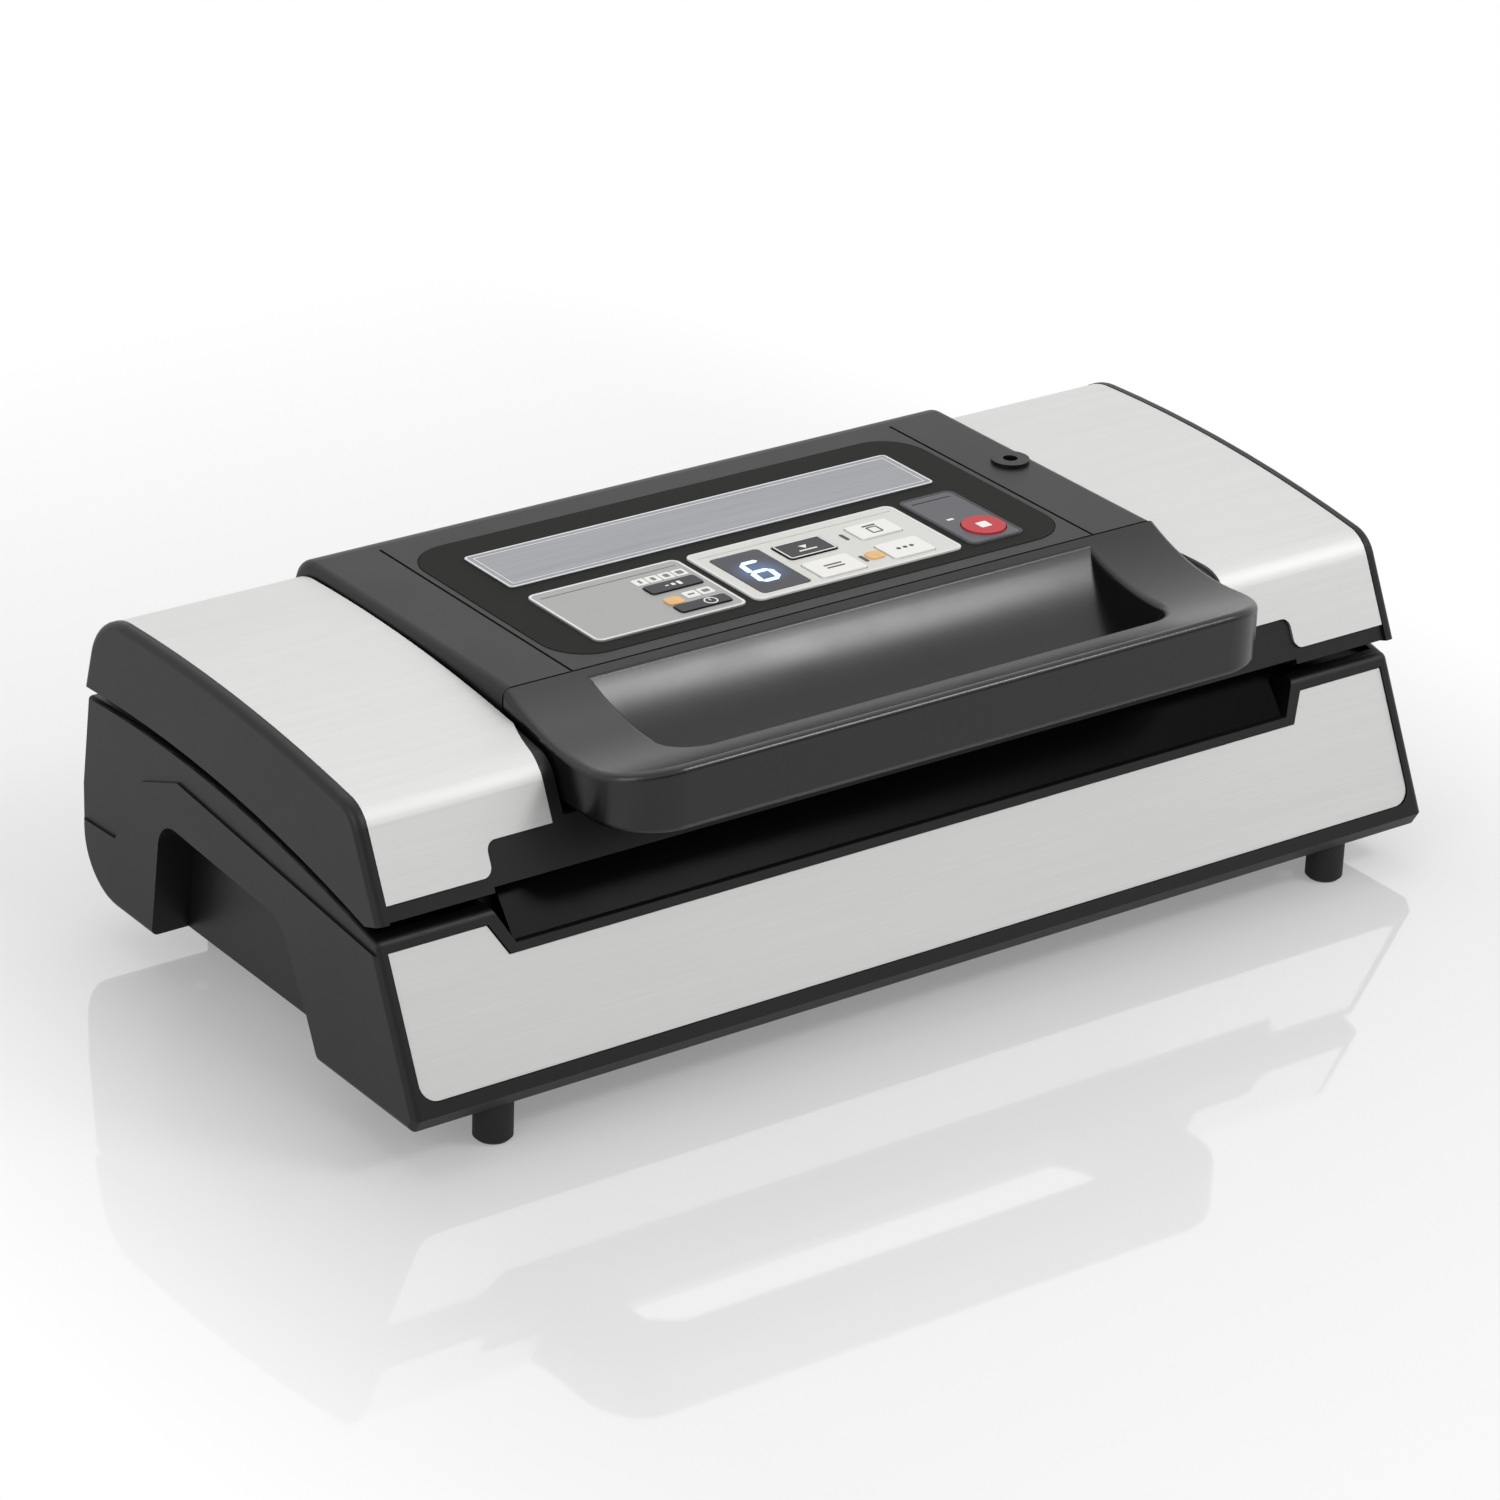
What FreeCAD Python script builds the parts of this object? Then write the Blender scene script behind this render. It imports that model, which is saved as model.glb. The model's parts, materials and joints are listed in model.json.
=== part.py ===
"""Countertop vacuum sealer: a base, a hinged lid with a pressing handle, and seven push keys.

The frame is +X right, +Y to the back, +Z up, in millimetres. The origin lies on the table under the
middle of the machine.
"""
import FreeCAD, Part
import math
import os
from types import SimpleNamespace

import Sketcher
from FreeCAD import Placement, Rotation, Vector

SIZES = [
    ("width", 400, "overall width over the end cheeks"),
    ("depth", 201, "handle front to housing back"),
    ("foot_height", 14, "table to the housing's underside"),
    ("base_front_height", 68.4, "front rim of the base"),
    ("base_rear_height", 81.9, "rear rim of the base"),
    ("toe_setback", 3.2, "toe of the base behind the handle's front"),
    ("toe_height", 4.6, "height of the chamfer under the toe"),
    ("toe_chamfer", 2.8, "depth of the chamfer under the toe"),
    ("front_lean", 23.8, "how far the front face leans back"),
    ("rear_lean", 4.4, "how far the back wall leans in"),
    ("waist_height", 50, "where the back wall starts to lean"),
    ("rear_corner_radius", 21, "round under the back wall"),
    ("seam_radius", 535, "arch of the seam between lid and base"),
    ("seam_gap", 3.5, "gap between lid and base, lid resting on its gasket"),
    ("casing_round", 2.5, "round on the casing's end edges"),
    ("wall", 3, "moulded wall"),
    ("end_wall", 18, "end block of the base, grip included"),
    ("rim_wall", 4, "rim beside the decks"),
    ("grip_depth", 13.5, "hand grip recess, from the end face"),
    ("grip_rear", 57, "rear foot of the grip arch"),
    ("grip_front", 44.5, "front foot of the grip arch"),
    ("grip_height", 43.8, "arch height at the rear"),
    ("grip_round", 10, "round in the arch"),
    ("flare_step", 0.8, "step of the flare around the grip"),
    ("flare_low", 37.5, "flare line at the back"),
    ("flare_drop", 7.5, "flare line below the seam at its crest"),
    ("panel_border", 4.5, "black border around the front panel"),
    ("panel_corner", 6, "lower corner radius of the front panel"),
    ("panel_sheet", 1, "steel sheet"),
    ("panel_recess", 1.5, "recess for the front panel"),
    ("notch_inset", 44.8, "bag notch from the end face, at its foot"),
    ("notch_flare", 5.5, "how much wider the bag notch is at its top"),
    ("notch_depth", 10.2, "bag notch below the panel's top edge"),
    ("notch_rim", 3, "black rim around the bag notch"),
    ("ledge_run", 12, "bag ledge, front to back"),
    ("ledge_rise", 13.2, "bag ledge above the notch floor"),
    ("ledge_crest", 1.5, "flat crest of the bag ledge"),
    ("rim_round", 2, "start of the round along the front rim"),
    ("ledge_lip", 2.2, "flat lip in front of the bag ledge"),
    ("deck_drop", 1, "front deck below the front rim"),
    ("deck_run", 68, "front deck, front to back"),
    ("deck_block", 16.4, "height of the block under the front deck"),
    ("rear_deck_drop", 4.9, "rear deck below the rear rim"),
    ("chamber_inset", 50, "vacuum chamber from the end face"),
    ("chamber_run", 29, "vacuum chamber, front to back"),
    ("chamber_depth", 12, "vacuum chamber depth"),
    ("chamber_corner", 8, "corner radius of the chamber"),
    ("chamber_setback", 28, "chamber behind the deck's front edge"),
    ("gasket_width", 5.4, "gasket band"),
    ("gasket_margin", 2, "chamber edge to the gasket groove"),
    ("gasket_seat", 2.5, "depth of the lower gasket groove"),
    ("gasket_rise", 3.5, "lower gasket above the deck"),
    ("gasket_gap", 0.3, "between the two gaskets"),
    ("fit", 0.3, "clearance of a part in its recess"),
    ("tray_wall", 1.5, "drip tray wall"),
    ("seal_bar_width", 7.4, "seal bar, front to back"),
    ("seal_bar_seat", 4, "depth of the seal bar's groove"),
    ("seal_bar_rise", 2, "seal bar above the deck"),
    ("seal_bar_setback", 9.3, "seal bar behind the deck's front edge"),
    ("element_width", 3, "heating ribbon width"),
    ("element_thickness", 0.2, "heating ribbon thickness"),
    ("tape_thickness", 0.5, "non-stick tape"),
    ("hook_inset", 28, "latch hook from the end face"),
    ("hook_width", 8, "latch hook along the shaft"),
    ("hook_stem", 8, "latch hook stem, front to back"),
    ("hook_nose", 5.5, "nose in front of the stem"),
    ("hook_nose_height", 4.5, "nose thickness"),
    ("hook_well", 14, "hook well along the width"),
    ("keeper_radius", 2.5, "latch keeper pin"),
    ("keeper_grip", 4, "keeper end in the housing on each side"),
    ("keeper_gap", 2, "nose below the keeper at rest"),
    ("plate_thickness", 2.5, "base plate"),
    ("vent_pitch", 8, "vent slots in the base plate, one to the next"),
    ("vent_width", 3, "vent slot"),
    ("vent_run", 30, "vent slot, front to back"),
    ("foot_radius", 6.3, "rubber foot"),
    ("foot_inset", 34, "foot from the end face"),
    ("foot_setback", 12.5, "front foot behind the handle's front"),
    ("screw_radius", 1.25, "screw shank"),
    ("screw_head", 3, "screw head radius"),
    ("boss_radius", 4, "screw boss"),
    ("hinge_inset", 95, "hinge centre from the end face"),
    ("knuckle_radius", 4.2, "hinge knuckle"),
    ("lid_knuckle", 24, "length of the lid's knuckle"),
    ("base_knuckle", 12.5, "length of each base knuckle"),
    ("knuckle_gap", 0.5, "between knuckles, and around them"),
    ("pin_radius", 1.75, "hinge pin"),
    ("pin_play", 0.15, "clearance around a pin or shaft"),
    ("hinge_setback", 5, "hinge axis from the housing back"),
    ("lid_front_overhang", 3.3, "lid's front foot ahead of the base rim"),
    ("lid_front_gap", 6.2, "lid's front foot above the base rim"),
    ("lid_lip", 7.8, "bevel under the lid's front"),
    ("lid_rear_overhang", 1.5, "lid's rear foot behind the base rim"),
    ("lid_rear_lean", 8.1, "how far the lid's back leans in"),
    ("lid_rear_height", 113.9, "lid's rear top edge before rounding"),
    ("lid_front_height", 107, "lid's brow before rounding"),
    ("lid_front_lean", 15.6, "how far the lid's front leans back"),
    ("lid_top_radius", 663, "arch of the lid's top"),
    ("lid_rear_radius", 22, "round over the lid's back"),
    ("lid_brow_radius", 12, "round over the lid's brow"),
    ("cheek", 4, "black end cheek beside the steel cover"),
    ("cover_sheet", 1, "steel cover sheet"),
    ("cover_reveal", 0.2, "steel cover below the cheek"),
    ("cover_gap", 0.3, "steel cover to its neighbours"),
    ("cover_skirt", 5, "black skirt under the steel cover"),
    ("cover_step", 9.6, "step up of the cover beside the bag slot"),
    ("cover_corner", 3.2, "corner radius at the step"),
    ("cover_relief", 4.5, "cover cut back beside the handle"),
    ("cover_rear_rise", 10.5, "steel cover above the lid's rear foot"),
    ("liner_inset", 8, "lid liner from the end face"),
    ("liner_thickness", 2.5, "lid liner"),
    ("slot_gap", 6.3, "front deck to lid liner"),
    ("rear_slot_gap", 3.5, "rear deck to lid liner"),
    ("well_depth", 13.8, "front block of the lid"),
    ("pressure_strip_drop", 3.3, "pressure strip below the liner"),
    ("groove_depth", 1, "grooves in the liner"),
    ("console_width", 256, "raised console"),
    ("console_setback", 67.9, "console front behind the handle's front"),
    ("console_run", 123.6, "console at its foot, front to back"),
    ("console_height", 11.6, "console above its seat"),
    ("console_lean", 5, "how far the console's back leans in"),
    ("console_round", 9, "round over the console's back"),
    ("console_edge", 3.5, "round along the console's sides"),
    ("console_seat_drop", 1, "console seat below the lid's brow"),
    ("bed_width", 206, "bed between the console's two grooves"),
    ("bed_groove", 1, "groove width"),
    ("bulkhead", 5, "wall between handle well and console"),
    ("inlay_width", 200, "control inlay"),
    ("inlay_run", 97, "control inlay, front to back"),
    ("inlay_setback", 5.6, "inlay behind the console's front"),
    ("inlay_corner", 16, "corner radius of the inlay"),
    ("inlay_thickness", 1, "control inlay"),
    ("inlay_seat", 0.8, "recess for the inlay"),
    ("plate_rise", 0.6, "plates and strip above the inlay"),
    ("plate_corner", 3, "corner radius of the plates"),
    ("plate_run", 41, "plates, front to back"),
    ("plate_setback", 12.1, "plates behind the console's front"),
    ("plate_line_setback", 4.8, "engraved line in front of the plates' back edge"),
    ("plate_line_width", 0.6, "engraved line"),
    ("plate_line_depth", 0.3, "depth of the engraved line"),
    ("strip_width", 169, "trim strip"),
    ("strip_run", 28.4, "trim strip, front to back"),
    ("strip_corner", 2, "corner radius of the trim strip"),
    ("strip_setback", 60.8, "trim strip behind the console's front"),
    ("left_plate_width", 57.8, "left plate"),
    ("centre_plate_width", 82.7, "centre plate"),
    ("right_plate_width", 22, "right plate"),
    ("plate_gap", 3.2, "between plates"),
    ("key_rise", 0.5, "key above its plate"),
    ("key_flange", 1, "flange under a key"),
    ("key_flange_height", 1.5, "flange thickness"),
    ("key_play", 0.35, "clearance around a key"),
    ("key_travel", 0.7, "travel of a key"),
    ("stop_key_radius", 7.3, "round stop key"),
    ("stop_key_inset", 1.8, "stop key from the right plate's edge"),
    ("stop_key_setback", 3.5, "stop key behind the right plate's front"),
    ("window_across", 4.9, "display window from the centre plate's left edge"),
    ("window_setback", 3.6, "display window behind the centre plate's front"),
    ("window_width", 19, "display window"),
    ("window_run", 30.2, "display window, front to back"),
    ("window_corner", 1.5, "corner radius of the display window"),
    ("lamp_width", 6, "indicator lamp"),
    ("lamp_run", 5.4, "indicator lamp, front to back"),
    ("lamp_corner", 1.6, "corner radius of an indicator lamp"),
    ("centre_lamp_across", 53.2, "centre lamp from its plate's left edge"),
    ("centre_lamp_back", 9.4, "centre lamp behind its plate's front"),
    ("left_lamp_across", 38, "left lamp from its plate's left edge"),
    ("left_lamp_back", 13.2, "left lamp behind its plate's front"),
    ("window_ledge", 1, "ledge under the display window"),
    ("board_thickness", 1.6, "circuit boards"),
    ("board_drop", 6, "control board below the console's skin"),
    ("switch_size", 6, "tact switch body"),
    ("port_x", 118.5, "accessory port from the middle"),
    ("port_setback", 63.6, "accessory port behind the console's front"),
    ("port_radius", 6.5, "accessory port ring"),
    ("port_body", 4.5, "accessory port body"),
    ("port_bore", 2.5, "accessory port bore"),
    ("port_ring", 1.2, "ring above the console"),
    ("port_spigot", 6, "spigot that the accessory tube slips over"),
    ("tube_wall", 1, "accessory tube wall"),
    ("handle_gap", 1, "handle to the well's sides"),
    ("handle_seam", 0.8, "handle to the console"),
    ("handle_corner", 22, "front corner radius of the handle"),
    ("handle_front_height", 114.3, "handle's front top edge"),
    ("handle_front_drop", 22.3, "handle's front face"),
    ("handle_saddle", 84, "saddle radius of the handle's top"),
    ("handle_lip", 2.2, "round along the handle's top edges"),
    ("handle_foot_round", 2.5, "round under the grip bar"),
    ("handle_bar", 17, "grip bar, front to back"),
    ("arm_width", 30.5, "handle arm"),
    ("slot_corner", 12, "corner radius of the finger slot"),
    ("scoop_setback", 2.2, "scoop's top edge in front of the seam"),
    ("scoop_radius", 70, "hollow of the scoop"),
    ("scoop_run", 26, "scoop, front to back"),
    ("web_clearance", 3.5, "handle web above the well floor"),
    ("shaft_radius", 3, "handle shaft"),
    ("shaft_setback", 59.5, "shaft behind the handle's front"),
    ("shaft_height", 8, "shaft above the well floor"),
    ("shaft_inset", 20, "shaft end from the end face"),
    ("hook_eye", 5, "eye of the latch hook"),
    ("hose_radius", 4.5, "vacuum hose"),
    ("hose_bore", 3, "vacuum hose bore"),
    ("spout", 12, "spouts that the vacuum hose slips over"),
    ("nozzle_x", 135, "vacuum nozzle from the middle"),
    ("pump_length", 40, "pump head along the width"),
    ("pump_run", 40, "pump head, front to back"),
    ("pump_height", 44, "pump head"),
    ("pump_setback", 30.5, "pump head in front of the housing back"),
    ("motor_radius", 18, "pump motor"),
    ("motor_length", 62, "pump motor"),
    ("core_length", 60, "transformer core"),
    ("core_run", 50, "transformer core, front to back"),
    ("core_height", 45, "transformer core"),
    ("coil_bulge", 6, "coil beyond the core"),
    ("can_radius", 6, "capacitor on the power board"),
    ("can_height", 18, "capacitor height"),
    ("relay_length", 18, "relay on the power board"),
    ("relay_height", 14, "relay height"),
    ("gland_radius", 6, "cord gland"),
    ("gland_flange", 9, "cord gland flange"),
    ("gland_bore", 3.5, "cord gland bore"),
    ("gland_height", 40, "cord gland above the table"),
    ("gland_inset", 50, "cord gland from the end face"),
]

VENT_COUNT = 10

KEYS = [
    # name, plate, middle across from the plate's left edge, middle back from its front, width, run
    ("vacuum_key", "centre", 37.4, 26, 18.8, 11.5),
    ("seal_key", "centre", 36.9, 9.2, 17.7, 12.5),
    ("canister_key", "centre", 65.6, 26.6, 16.4, 10.5),
    ("marinate_key", "centre", 65.4, 9.3, 16.4, 12),
    ("mode_key", "left", 45, 23.7, 19.7, 6.2),
    ("time_key", "left", 44.8, 7, 19.5, 5.4),
]
for name, plate, across, back, width, run in KEYS:
    SIZES += [(f"{name}_across", across, f"{name} from the {plate} plate's left edge to its middle"),
              (f"{name}_back", back, f"{name} from the {plate} plate's front to its middle"),
              (f"{name}_width", width, f"{name}, across"),
              (f"{name}_run", run, f"{name}, front to back")]

doc = FreeCAD.newDocument("vacuum_sealer")
sheet = doc.addObject("Spreadsheet::Sheet", "Sizes")
for row, (name, value, note) in enumerate(SIZES, 1):
    sheet.set(f"A{row}", note)
    sheet.set(f"B{row}", str(value))
    sheet.setAlias(f"B{row}", name)
doc.recompute()


class Size:
    """A number together with the spreadsheet expression that gives it."""

    def __init__(self, value, text):
        self.value = value
        self.text = text

    def __float__(self):
        return float(self.value)

    def __add__(self, other):
        return joined(self, "+", other, float(self) + float(other))

    def __sub__(self, other):
        return joined(self, "-", other, float(self) - float(other))

    def __rsub__(self, other):
        return joined(other, "-", self, float(other) - float(self))

    def __mul__(self, other):
        return joined(self, "*", other, float(self) * float(other))

    def __truediv__(self, other):
        return joined(self, "/", other, float(self) / float(other))

    def __neg__(self):
        return Size(-float(self), f"(-{self.text})")

    __radd__ = __add__
    __rmul__ = __mul__


def text_of(value):
    return value.text if isinstance(value, Size) else f"{float(value)}"


def joined(left, sign, right, value):
    return Size(value, f"({text_of(left)} {sign} {text_of(right)})")


def root(value):
    return Size(math.sqrt(float(value)), f"sqrt({value.text})")


size = SimpleNamespace(**{name: Size(sheet.get(name), f"Sizes.{name}") for name, _, _ in SIZES})


# Drawing helpers


def new_body(label):
    body = doc.addObject("PartDesign::Body", label)
    body.Label = label
    body.AllowCompound = True
    return body


def bind(feature, prop, value):
    feature.setExpression(prop, text_of(value))


def arc_between(start, end, radius):
    """The short arc from start to end that bulges to the right of the way, or to the left if negative."""
    chord = end - start
    left = Vector(-chord.y, chord.x, 0).normalize()
    height = math.sqrt(radius * radius - chord.Length * chord.Length / 4)
    centre = (start + end) / 2 + left * math.copysign(height, radius)
    middle = centre + ((start + end) / 2 - centre).normalize() * abs(radius)
    return Part.Arc(start, middle, end)


def draw_outline(sketch, corners):
    """Lines from corner to corner; a corner with a third value starts an arc of that radius."""
    first = sketch.GeometryCount
    places = [Vector(float(corner[0]), float(corner[1]), 0) for corner in corners]
    begins = []
    for index, corner in enumerate(corners):
        start, end = places[index], places[(index + 1) % len(places)]
        if len(corner) == 3:
            sketch.addGeometry(arc_between(start, end, float(corner[2])))
            begins.append(1 if float(corner[2]) > 0 else 2)
        else:
            sketch.addGeometry(Part.LineSegment(start, end))
            begins.append(1)
    for index, corner in enumerate(corners):
        edge = first + index
        following = (index + 1) % len(corners)
        ends = (edge, 3 - begins[index], first + following, begins[following])
        sketch.addConstraint(Sketcher.Constraint("Coincident", *ends))
        place_point(sketch, edge, begins[index], corner[0], corner[1])
        if len(corner) == 3:
            radius = corner[2] if float(corner[2]) > 0 else -corner[2]
            held = sketch.addConstraint(Sketcher.Constraint("Radius", edge, float(radius)))
            bind(sketch, f"Constraints[{held}]", radius)


def draw_circle(sketch, across, up, radius):
    centre = Vector(float(across), float(up), 0)
    edge = sketch.addGeometry(Part.Circle(centre, Vector(0, 0, 1), float(radius)))
    place_point(sketch, edge, 3, across, up)
    held = sketch.addConstraint(Sketcher.Constraint("Radius", edge, float(radius)))
    bind(sketch, f"Constraints[{held}]", radius)


def place_point(sketch, edge, point, across, up):
    for kind, value in (("DistanceX", across), ("DistanceY", up)):
        held = sketch.addConstraint(Sketcher.Constraint(kind, -1, 1, edge, point, float(value)))
        bind(sketch, f"Constraints[{held}]", value)


def draw(body, plane, level, wires):
    """A sketch on the body's XY, YZ or XZ plane, at a level measured along Z, X or Y."""
    sketch = body.newObject("Sketcher::SketchObject", "Sketch")
    sketch.AttachmentSupport = [(origin_plane(body, plane), "")]
    sketch.MapMode = "FlatFace"
    bind(sketch, "AttachmentOffset.Base.z", -level if plane == "XZ" else level)
    draw_wires(sketch, wires)
    return sketch


def draw_wires(sketch, wires):
    for wire in wires:
        if isinstance(wire, tuple):
            draw_circle(sketch, *wire)
        else:
            draw_outline(sketch, wire)


def draw_on_front(body, wires):
    """A sketch on the leaning front face, its origin at the toe and its second axis up the face."""
    sketch = body.newObject("Sketcher::SketchObject", "Sketch")
    sketch.AttachmentSupport = [(origin_plane(body, "XZ"), "")]
    sketch.MapMode = "FlatFace"
    sketch.AttachmentOffset = Placement(Vector(0, 0, 0), Rotation(Vector(-1, 0, 0), 10))
    bind(sketch, "AttachmentOffset.Base.y", toe_z)
    bind(sketch, "AttachmentOffset.Base.z", -toe_y)
    sketch.setExpression("AttachmentOffset.Rotation.Angle", f"atan({front_slope.text})")
    draw_wires(sketch, wires)
    return sketch


def origin_plane(body, plane):
    return next(part for part in body.Origin.OriginFeatures if part.Role == plane + "_Plane")


def extrude(body, kind, sketch, length, symmetric=False, reverse=False):
    feature = body.newObject(kind, kind.split("::")[1])
    feature.Profile = sketch
    bind(feature, "Length", length)
    feature.SideType = "Symmetric" if symmetric else "One side"
    feature.Reversed = reverse
    return feature


def add(body, plane, level, wires, length, symmetric=False):
    """Pad: up from an XY sketch, to the right from YZ, to the front from XZ."""
    return extrude(body, "PartDesign::Pad", draw(body, plane, level, wires), length, symmetric)


def cut(body, plane, level, wires, length, symmetric=False):
    """Pocket: down from an XY sketch, to the left from YZ, to the back from XZ."""
    return extrude(body, "PartDesign::Pocket", draw(body, plane, level, wires), length, symmetric)


def round_edges(body, radius, chosen, kind="Fillet"):
    """Fillet or chamfer the edges of the body so far for which chosen(edge) is true."""
    doc.recompute()
    base = body.Tip
    names = [f"Edge{number}" for number, edge in enumerate(base.Shape.Edges, 1) if chosen(edge)]
    if not names:
        raise RuntimeError(f"{body.Label}: no edge to round")
    feature = body.newObject(f"PartDesign::{kind}", kind)
    feature.Base = (base, names)
    bind(feature, "Radius" if kind == "Fillet" else "Size", radius)


def near(value, target):
    return abs(value - float(target)) < 0.01


def along_x(*places):
    """Edges along X through any of the given (y, z) places."""
    def chosen(edge):
        return any(all(near(v.Y, y) and near(v.Z, z) for v in edge.Vertexes) for y, z, *_ in places)
    return chosen


def along_z(*places):
    """Upright edges through any of the given (x, y) places, on both sides of the middle."""
    def chosen(edge):
        hit = any(all(near(abs(v.X), x) and near(v.Y, y) for v in edge.Vertexes) for x, y in places)
        return hit and level_in_x(edge)
    return chosen


def end_edges(x, above):
    """Edges in the two end planes at plus and minus x, above a height."""
    def chosen(edge):
        return level_in_x(edge) and all(near(abs(v.X), x) and v.Z > float(above) for v in edge.Vertexes)
    return chosen


def level_in_x(edge):
    """True for an edge that stays in one plane across X."""
    return near(edge.Vertexes[0].X, edge.Vertexes[-1].X)


def rect(left, front_edge, right, back_edge):
    return [(left, front_edge), (right, front_edge), (right, back_edge), (left, back_edge)]


def round_rect(left, front_edge, right, back_edge, radius):
    return [(left + radius, front_edge), (right - radius, front_edge, radius),
            (right, front_edge + radius), (right, back_edge - radius, radius),
            (right - radius, back_edge), (left + radius, back_edge, radius),
            (left, back_edge - radius), (left, front_edge + radius, radius)]


def both_sides(left, front_edge, right, back_edge):
    """A rectangle on the right and its mirror image on the left."""
    return [rect(left, front_edge, right, back_edge), rect(-right, front_edge, -left, back_edge)]


def block(label, left, front_edge, bottom, right, back_edge, top):
    box = doc.addObject("Part::Box", label)
    box.Label = label
    bind(box, "Length", right - left)
    bind(box, "Width", back_edge - front_edge)
    bind(box, "Height", top - bottom)
    for axis, value in (("x", left), ("y", front_edge), ("z", bottom)):
        bind(box, f"Placement.Base.{axis}", value)
    return box


def rods(label, radius, length, starts):
    """Separate round rods along X, one from each start point."""
    body = new_body(label)
    for x, y, z in starts:
        add(body, "YZ", x, [(y, z, radius)], length)
    return body


# Datums that the pieces share

half = size.width / 2
front = -size.depth / 2
rear = size.depth / 2
floor = size.foot_height

toe_y = front + size.toe_setback
toe_z = floor + size.toe_height
rim_y = toe_y + size.front_lean
back_rim_y = rear - size.rear_lean
front_slope = size.front_lean / (size.base_front_height - toe_z)
face_length = root(size.front_lean * size.front_lean
                   + (size.base_front_height - toe_z) * (size.base_front_height - toe_z))

deck = size.base_front_height - size.deck_drop
deck_front = rim_y + size.rim_wall
deck_back = deck_front + size.deck_run
rear_deck = size.base_rear_height - size.rear_deck_drop
block_foot = deck - size.deck_block
cavity_half = half - size.end_wall
plate_top = floor + size.plate_thickness
cavity_back = rear - size.rear_corner_radius - size.wall

liner_bottom = deck + size.slot_gap
liner_top = liner_bottom + size.liner_thickness
rear_liner_bottom = rear_deck + size.rear_slot_gap
rear_liner_top = rear_liner_bottom + size.liner_thickness
liner_front = deck_front + size.ledge_lip + size.ledge_run / 2
liner_step = deck_back - size.rear_slot_gap
liner_back = rear - 2 * size.hinge_setback - size.knuckle_gap
liner_half = half - size.liner_inset

hinge_y = rear - size.hinge_setback
hinge_z = size.base_rear_height + size.seam_gap / 2
hinge_x = half - size.hinge_inset

lid_foot_y = rim_y - size.lid_front_overhang
lid_foot_z = size.base_front_height + size.lid_front_gap
lid_back_y = back_rim_y + size.lid_rear_overhang
lid_back_z = size.base_rear_height + size.seam_gap
core_inset = size.cover_reveal + size.cover_sheet

console_front = front + size.console_setback
console_half = size.console_width / 2
console_seat = size.lid_front_height - size.console_seat_drop
console_top = console_seat + size.console_height
console_skin = console_top - size.wall
bulkhead_y = console_front + size.wall / 2
well_floor = liner_top + size.well_depth
well_half = console_half + size.handle_gap

panel_top = console_top - size.inlay_seat + size.inlay_thickness
plate_face = panel_top + size.plate_rise
key_face = plate_face + size.key_rise
key_foot = console_skin - size.key_flange_height - size.key_travel
board_top = console_skin - size.board_drop
plate_front = console_front + size.plate_setback

shaft_y = front + size.shaft_setback
shaft_z = well_floor + size.shaft_height
hook_x = half - size.hook_inset
keeper_z = deck - size.deck_drop - 1.3 * size.keeper_radius
nose_top = keeper_z - size.keeper_radius - size.keeper_gap
nose_tip = shaft_y + size.hook_stem / 2 + size.hook_nose
keeper_y = nose_tip + size.keeper_radius + size.handle_gap

chamber_front = deck_front + size.chamber_setback
chamber_back = chamber_front + size.chamber_run
chamber_half = half - size.chamber_inset
chamber_floor = deck - size.chamber_depth
gasket_inner = size.gasket_margin + size.fit
seal_front = deck_front + size.seal_bar_setback
seal_back = seal_front + size.seal_bar_width
seal_half = chamber_half + size.chamber_corner / 2
seal_top = deck + size.seal_bar_rise

screw_x = cavity_half - 1.5 * size.boss_radius
screw_front = deck_front + size.boss_radius + size.wall + size.boss_radius
screw_back = cavity_back - size.boss_radius - size.wall - size.boss_radius
lid_screw_front = bulkhead_y - size.boss_radius - size.wall
lid_screw_back = liner_back - size.wall
lid_screw_x = console_half / 2
pump_x = size.nozzle_x
pump_back = rear - size.pump_setback
pump_front = pump_back - size.pump_run
nozzle_y = (chamber_front + chamber_back) / 2
hose_z = plate_top + size.hose_radius + 2 * size.wall
head_seat = floor + 0.6 * size.plate_thickness
keeper_length = size.hook_well + 2 * size.keeper_grip
switch_x = pump_x
switch_y = pump_front + size.wall
board_half = size.inlay_width / 2 - size.boss_radius
board_front = console_front + size.wall + 2 * size.boss_radius
board_back = board_front + size.inlay_run - 2 * size.boss_radius
port_y = console_front + size.port_setback
board_posts_x = (-size.core_length, 0.5 * size.core_length)
board_posts_y = (pump_front - size.wall, pump_back - size.wall)


def face_height(along):
    """Height above the table of a place so far up the leaning front face."""
    return toe_z + along * (size.base_front_height - toe_z) / face_length


notch_foot = face_height(face_length - size.panel_border - size.notch_depth + size.notch_rim)
notch_half = half - size.notch_inset - size.notch_rim
ledge_back = (rim_y - front_slope * (size.base_front_height - notch_foot) + size.ledge_lip + size.ledge_run)

# Base


def base_outline():
    """Section of the housing; its front rim is an arc that meets the leaning face smoothly."""
    bend = size.rim_round * root((face_length + size.front_lean) / (face_length - size.front_lean))
    bend_y = rim_y - size.rim_round * size.front_lean / face_length
    bend_z = face_height(face_length - size.rim_round)
    return [(toe_y + size.toe_chamfer, floor), (rear, floor), (rear, size.waist_height),
            (back_rim_y, size.base_rear_height, size.seam_radius),
            (rim_y + size.rim_round, size.base_front_height, bend), (bend_y, bend_z), (toe_y, toe_z)]


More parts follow.
